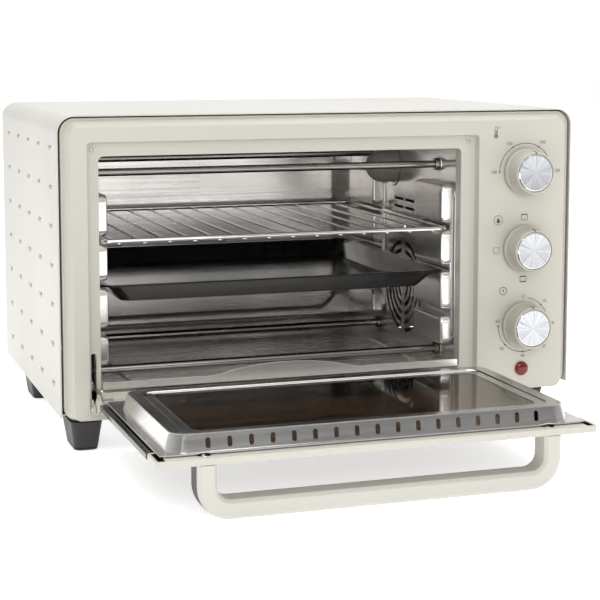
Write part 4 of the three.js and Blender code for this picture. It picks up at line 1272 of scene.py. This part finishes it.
def door_bottom_rail():
    left, _, _, right, _, top = span("door_bottom_rail")
    under = top - 4
    pivot = hinge_line()
    bm = bmesh.new()
    section = soft([(-29.7, under), (-10, under), (-10, under + 1.4), (-11.4, top), (-19, top),
                    (-19.6, top - 0.8), (-23.4, top - 0.8), (-24, top), (-29.7, top),
                    (-29.7, under)], 0.35, 2)[:-1]
    plate_from(bm, section, on_side, left + 0.2, right - 0.2)
    for near, far in ((left, left + 1.4), (right - 1.4, right)):
        cheek = [(-21, 44.2), (-21, 42.2), *arc(pivot, 4.6, 225, 414, 14), (-11.2, 44.2)]
        holed_plate(bm, cheek, [circle(*pivot, HINGE_BORE, 16)], on_side, near, far)
    finished(bm, "door_rail_bottom", panel_paint, "door", ["door_bottom_rail"], "cream_paint")


VENT_FIRST, VENT_PITCH, VENT_COUNT = -162, 15.65, 17


def door_inner_pan():
    left, front, bottom, right, rear, top = span("door_inner_pan")
    base = bottom + 1.2
    flange = (left, front, right, rear, 3)
    foot = (-190.5, -206.5, 118, -50, 14)
    crown = (-187, -204, 114.5, -54, 12)
    pane = (-169, -191, 97, -72, 8)
    pan = Pressing(on_floor)
    wall_low, wall_high = (1.04, base + 0.7), (1.93, top - 1.15)
    profile = [(0.0, bottom + 0.1), (0.0, base - 0.3), (0.05, base), (0.9, base),
               (0.99, base + 0.2), wall_low, wall_high, (1.965, top - 0.5), (2.02, top - 0.1),
               (2.1, top), (2.5, top), (2.53, top), (2.56, top - 0.3), (2.59, top - 1.0),
               (2.64, top - 1.15), (2.94, top - 1.15), (2.98, top - 1.25), (3.0, top - 1.45)]
    outline_at = nested([flange, foot, crown, pane])
    rings = [pan.ring(outline_at(t), height) for t, height in profile]
    pan.band(*rings)
    fronts = [f for f in pan.bm.faces if f.calc_center_median().y < -203.5
              and bottom + 2 < f.calc_center_median().z < top - 2]
    front_wall = max(fronts, key=lambda f: f.calc_area())
    wall_edges = list(front_wall.edges)
    wall_start = max(v.co.x for v in front_wall.verts if v.co.x < 0) + 0.8
    wall_end = min(v.co.x for v in front_wall.verts if v.co.x > 0) - 0.8
    bmesh.ops.delete(pan.bm, geom=[front_wall], context="FACES_ONLY")

    def on_wall(x, z, _):
        share = (z - wall_low[1]) / (wall_high[1] - wall_low[1])
        t = wall_low[0] + (wall_high[0] - wall_low[0]) * share
        return (x, foot[1] + (crown[1] - foot[1]) * (t - 1), z)

    pan.surface = on_wall
    vents = [pan.ring(rounded(x - 1.75, 49.8, x + 1.75, 57.4, 1.74, 5), 0)
             for x in (VENT_FIRST + i * VENT_PITCH for i in range(VENT_COUNT))]
    field = pan.ring([(wall_start, wall_low[1] + 0.4), (wall_end, wall_low[1] + 0.4),
                      (wall_end, wall_high[1] - 0.4), (wall_start, wall_high[1] - 0.4)], 0)
    pan.band(wall_edges, field)
    pan.flat(field, *vents, turn=Matrix.Identity(3))
    lift_flange_over_screws(pan.bm, front, base)
    finished(pan.bm, "door_pan", pan_steel, "door", ["door_inner_pan"], "door_pan_steel",
             facing=(0, 0, 1), sheet=0.9, sharp=30)


def lift_flange_over_screws(bm, front, base):
    """Arches the flange's front edge where it clears a handle screw."""
    half, lift = 8.5, 0.9
    near_edge = [f for f in bm.faces if f.calc_center_median().y < front + 1.6
                 and f.calc_center_median().z < base + 0.1]
    geometry = list({g for f in near_edge for g in (*f.verts, *f.edges, f)})
    for x in HANDLE_ARMS:
        for i in range(9):
            place = x - half + i * half / 4
            cut = bmesh.ops.bisect_plane(bm, geom=geometry, plane_co=(place, 0, 0),
                                         plane_no=(1, 0, 0), dist=1e-4)
            geometry = list(set(geometry) | set(cut["geom"]))
            geometry = [g for g in geometry if g.is_valid]
    for vert in bm.verts:
        for x in HANDLE_ARMS:
            away = abs(vert.co.x - x) / half
            if away < 1 and vert.co.y < front + 0.9 and vert.co.z < base + 0.1:
                vert.co.z += lift * math.cos(away * math.pi / 2) ** 2


HANDLE_BAR, HANDLE_CORNER = 14, 24


def handle_outline(inset):
    """The handle's U from the front, with its edges drawn in by an inset but its feet left."""
    left, _, bottom, right, _, top = span("door_handle")
    outer = HANDLE_CORNER - inset
    inner = HANDLE_CORNER - HANDLE_BAR + inset
    centres = ((left + HANDLE_CORNER, bottom + HANDLE_CORNER),
               (right - HANDLE_CORNER, bottom + HANDLE_CORNER))
    return [(left + inset, top), *arc(centres[0], outer, 180, 270, 12),
            *arc(centres[1], outer, 270, 360, 12), (right - inset, top),
            (right - HANDLE_BAR + inset, top), *arc(centres[1], inner, 360, 270, 12),
            *arc(centres[0], inner, 270, 180, 12), (left + HANDLE_BAR - inset, top)]


def door_handle():
    _, front, _, _, rear, _ = span("door_handle")
    bar = Pressing(on_front)
    profile = soft([(4, -rear), (2.5, -rear), (0, -rear + 2.5), (0, -front - 2.5),
                    (2.5, -front), (4, -front)], 0.7, 3)
    back, face = bar.step(handle_outline, profile)
    bar.flat(back)
    bar.flat(face)
    finished(bar.bm, "handle_bar", handle_paint, "door", ["door_handle"], "cream_paint", sharp=38)


def handle_inserts():
    left, _, bottom, right, _, top = span("door_handle")
    wrap_angle = 50
    for side, outside in (("left", left), ("right", right)):
        outward = -1 if side == "left" else 1
        _, front, _, _, rear, _ = span(f"{side}_handle_insert")
        centre_x = outside - outward * HANDLE_CORNER
        centre_z = bottom + HANDLE_CORNER
        stations = [((outside, z), (outward, 0), 0) for z in (top - 1.2, top - 6, top - 12)]
        for i in range(13):
            turn = math.radians(wrap_angle * i / 12)
            heading = (outward * math.cos(turn), -math.sin(turn))
            spot = (centre_x + heading[0] * HANDLE_CORNER, centre_z + heading[1] * HANDLE_CORNER)
            stations.append((spot, heading, i / 12))
        rings = []
        for (x, z), (out_x, out_z), share in stations:
            narrow = 4.8 * share ** 3
            low, high = front + narrow * 0.4, rear - narrow
            ring = []
            for y, depth in ((low, -1.0), (low, 0.08), (low + 0.5, 0.24), (high - 0.5, 0.24),
                             (high, 0.08), (high, -1.0)):
                ring.append((x + out_x * depth, y, z + out_z * depth))
            rings.append(ring)
        bm = bmesh.new()
        lofted(bm, rings)
        finished(bm, f"{side}_handle_strip", black_plastic, "door", [f"{side}_handle_insert"],
                 "black_plastic", sharp=50)


def cross_screw(bm, x, y, z, radius, head, shank):
    """Adds a pan-head screw standing along Z, with a cross recess."""
    arm = radius * 0.62
    half = radius * 0.16
    cross = [(arm, half), (half, half), (half, arm), (-half, arm), (-half, half), (-arm, half),
             (-arm, -half), (-half, -half), (-half, -arm), (half, -arm), (half, -half),
             (arm, -half)]
    screw = Pressing(on_floor, bm)
    rings = [screw.ring(circle(x, y, r, 24), z + h) for r, h in
             ((0.5 * radius, -shank), (0.5 * radius, 0), (radius, 0), (radius, head * 0.35),
              (radius * 0.86, head * 0.8), (radius * 0.7, head))]
    screw.band(*rings)
    screw.flat(rings[0])
    mouth = screw.ring([(x + a, y + b) for a, b in cross], z + head)
    floor = screw.ring([(x + a * 0.8, y + b * 0.8) for a, b in cross], z + head * 0.35)
    screw.band(mouth, floor)
    screw.flat(floor)
    screw.flat(rings[-1], mouth)


def handle_screws():
    for side in ("left", "right"):
        node = f"{side}_handle_screw"
        spot = middle(node)
        top = span(node)[5]
        bm = bmesh.new()
        cross_screw(bm, spot.x, spot.y, top - 2.6, 4.2, 2.6, 15)
        finished(bm, f"{side}_grip_screw", drawn_steel, "door", [node], "bright_steel", sharp=40)


# ---- Hinge ----
DRIVE_Y, DRIVE_Z = -17.18, 46.88


def hinge_brackets():
    pivot = hinge_line()
    stem_top = 42.4
    for side in ("left", "right"):
        node = f"{side}_hinge_bracket"
        left, _, bottom, right, rear, top = span(node)
        low, high = (right - 1.4, right) if side == "left" else (left, left + 1.4)
        eye = [*arc(pivot, 4, 95, 250, 14), (-5.5, 32.4), (rear, 32.4), (rear, stem_top),
               (-1.2, stem_top), (-3.6, 40.2)]
        bm = bmesh.new()
        holed_plate(bm, eye, [circle(*pivot, HINGE_BORE, 16)], on_side, low, high)
        holed_plate(bm, rounded(left, bottom + 0.1, right, top, 1.6, 4),
                    [circle(left + 4 if side == "left" else right - 4, 37.6, 1.6, 16)],
                    on_front, -rear, -rear + 1.3)
        finished(bm, f"{side}_bracket_plate", panel_paint, "housing", [node], "cream_paint")


def hinge_pins():
    for side, outward in (("left", -1), ("right", 1)):
        node = f"{side}_hinge_pin"
        left, _, _, right, _, _ = span(node)
        head, end = (left, right) if outward < 0 else (right, left)
        profile = [(0, head), (1.4, head - outward * 0.05), (2.5, head - outward * 0.4),
                   (3, head - outward * 0.9), (3, head - outward * 1.3),
                   (1.8, head - outward * 1.35), (1.8, end + outward * 0.5),
                   (1.3, end), (0, end)]
        turned(f"{side}_pivot_pin", drawn_steel, "housing", profile, "x", (0, *hinge_line()), 24,
               [node], "bright_steel")


def hinge_arm():
    left, _, _, right, _, _ = span("hinge_arm")
    pivot = hinge_line()
    outline = [(-29.5, 41.4), (-11.4, 33.6), *arc(pivot, 4.6, 215, 405, 14),
               *arc((DRIVE_Y, DRIVE_Z), 3.4, 30, 150, 8), (-29.5, 45)]
    bm = bmesh.new()
    holed_plate(bm, outline, [circle(*pivot, HINGE_BORE, 16)], on_side, left, left + 1.4)
    rounded_block(bm, (left, -29.5, 41.4, -197.2, -26.4, 45), 0.3, 2)
    spun(bm, [(0, left), (1.5, left), (1.5, right - 0.6), (1.1, right), (0, right)], "x",
         (0, DRIVE_Y, DRIVE_Z), 16)
    finished(bm, "hinge_lever", panel_paint, "door", ["hinge_arm"], "cream_paint")


def hinge_link():
    left, _, bottom, right, rear, top = span("hinge_link")
    face = right - 1.2
    head = rounded(DRIVE_Y - 3.6, 43.8, DRIVE_Y + 3.6, 54.8, 1.6, 4)
    slot = rounded(DRIVE_Y - 2.1, 45.1, DRIVE_Y + 2.1, 53.1, 2.0, 5)
    bm = bmesh.new()
    holed_plate(bm, head, [slot], on_side, face, right)
    rounded_block(bm, (face, DRIVE_Y + 3.2, 48, right, rear, 52.5), 0.35, 2)
    rounded_block(bm, (left, rear - 1.5, bottom + 2.2, right, rear, top - 0.8), 0.35, 2)
    finished(bm, "hinge_strip", drawn_steel, "hinge_link", ["hinge_link"], "bright_steel")


def hinge_spring():
    _, front, _, _, rear, _ = span("hinge_spring")
    spot = middle("hinge_spring")
    coil, wire, coils, steps = 2.95, 0.5, 34, 14
    hook = 4.5
    length = rear - front - 2 * hook
    path = [(spot.x, front + 0.6, spot.z), (spot.x, front + hook * 0.6, spot.z)]
    for i in range(coils * steps + 1):
        turn = i * math.tau / steps
        path.append((spot.x + coil * math.sin(turn), front + hook + length * i / (coils * steps),
                     spot.z + coil * math.cos(turn)))
    path += [(spot.x, rear - hook * 0.6, spot.z), (spot.x, rear - 0.6, spot.z)]
    bm = bmesh.new()
    rod(bm, path, wire, 7)
    spring = finished(bm, "hinge_coil", drawn_steel, "housing", ["hinge_spring"], "bright_steel",
                      sharp=60)
    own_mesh(spring)


# ---- Shelves ----
def wire_rack():
    left, front, _, right, rear, top = span("wire_rack")
    bar, wire = 2.0, 1.25
    height = top - bar
    wires, pitch = 14, 21.2
    bm = bmesh.new()
    loop = rounded(left + bar, front + bar, right - bar, rear - bar, 9, 6)
    rod(bm, [(x, y, height) for x, y in loop], bar, 14, closed=True)
    first = (left + right) / 2 - (wires - 1) * pitch / 2
    for i in range(wires):
        x = first + i * pitch
        rod(bm, [(x, front + 1.3, height - 2), (x, (front + rear) / 2, height - 2.0),
                 (x, rear - 1.3, height - 2)], wire, 10)
        for y in (front + bar, rear - bar):
            squat = Matrix.Translation((x, y, height - 1.7)) @ Matrix.Diagonal((1.3, 1, 0.8, 1))
            bmesh.ops.create_icosphere(bm, subdivisions=2, radius=1.75, matrix=squat)
    finished(bm, "shelf_rack", rack_chrome, "rack", ["wire_rack"], "rack_chrome", sharp=60)


def baking_tray():
    left, front, bottom, right, rear, top = span("baking_tray")
    centre = (left + right) / 2
    rim = (left, front, right, rear, 12)
    wall = (centre - 145, front + 5, centre + 145, rear - 5, 9)
    floor = (centre - 132, front + 16, centre + 132, rear - 16, 8)
    inner = (centre - 118, front + 30, centre + 118, rear - 30, 20)
    sheet = Pressing(on_floor)
    profile = [(0.32, top - 1.5), (0.1, top - 1.6), (0.0, top - 1.0), (0.05, top - 0.35),
               (0.2, top), (0.8, top - 0.05), (0.96, top - 0.35), (1.03, top - 1.2),
               (1.88, bottom + 2.6), (1.95, bottom + 1.5), (2.08, bottom + 1.1),
               (2.5, bottom + 1.1), (2.6, bottom + 1.6), (3.0, bottom + 1.7)]
    outline_at = nested([rim, wall, floor, inner])
    rings = [sheet.ring(outline_at(t), height) for t, height in profile]
    sheet.band(*rings)
    sheet.flat(rings[-1])
    finished(sheet.bm, "baking_pan", black_enamel, "tray", ["baking_tray"], "black_enamel",
             facing=(0, 0, 1), sheet=0.9, sharp=34)


def crumb_tray():
    left, front, bottom, right, rear, top = span("crumb_tray")
    pan_left, pan_right, rim, lip_top = -165, 92, 51.2, 54
    hump = -35
    sheet = Pressing(on_floor)
    profile = soft([(0.0, rim - 0.9), (0.0, rim), (0.9, rim), (1.4, bottom + 0.9),
                    (4, bottom + 0.9)], 0.5, 2)
    _, floor = sheet.step(around_box((pan_left, front + 0.9, pan_right, rear), 3), profile)
    sheet.flat(floor)
    finished(sheet.bm, "crumb_pan", cavity_steel, "crumb_tray", ["crumb_tray"], "cavity_steel",
             facing=(0, 0, 1), sheet=0.7, sharp=34)
    crest = [(hump + 62 * math.cos(math.pi * i / 24),
              lip_top + (top - lip_top) * math.sin(math.pi * i / 24) ** 2) for i in range(25)]
    outline = [(left, bottom), (right, bottom), (right, lip_top), *crest, (left, lip_top)]
    bm = bmesh.new()
    plate_from(bm, outline, on_front, -front - 0.8, -front)
    path = [(x, front + 0.95, z - 0.5) for x, z in
            [(right - 1, lip_top), *crest, (left + 1, lip_top)]]
    rod(bm, path, 0.75, 10)
    finished(bm, "crumb_lip", cavity_steel, "crumb_tray", slot="cavity_steel", sharp=30)


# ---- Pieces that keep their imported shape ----
def kept_finishes():
    looks = {
        "base_plate": zinc_sheet, "heat_shield": zinc_sheet, "control_bracket": zinc_sheet,
        "fan_motor": laminated_iron, "lamp_socket": ceramic_glaze, "thermostat": brown_moulding,
        "mode_switch": brown_moulding, "timer_unit": brown_moulding,
        "temperature_shaft": drawn_steel, "mode_shaft": drawn_steel, "timer_shaft": drawn_steel,
        "indicator_holder": black_plastic,
    }
    for node, look in looks.items():
        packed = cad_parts[node].data
        packed.materials.clear()
        packed.materials.append(look)


# ---- Assembly ----
set_camera()
set_studio()
for make in (outer_wrap, front_panel, panel_screws, feet, rear_panel, cord_gland, cavity_liner):
    make()
side_wall("left_liner_wall", -1)
side_wall("right_liner_wall", 1)
for make in (heating_elements, fan_rotor, lamp_parts):
    make()
for each_control in CONTROLS:
    knob(each_control)
for make in (temperature_print, mode_print, timer_print, indicator, door_top_rail):
    make()
glass_pane("door_glass_outer", smoked_glass, "door_outer_glass", 2, 0.6)
glass_border()
for make in (door_bottom_rail, door_inner_pan):
    make()
glass_pane("door_glass_inner", inner_glass, "door_inner_glass", 8, 0.5)
for make in (door_handle, handle_inserts, handle_screws, hinge_brackets, hinge_pins, hinge_arm,
             hinge_link, hinge_spring, wire_rack, baking_tray, crumb_tray, kept_finishes):
    make()
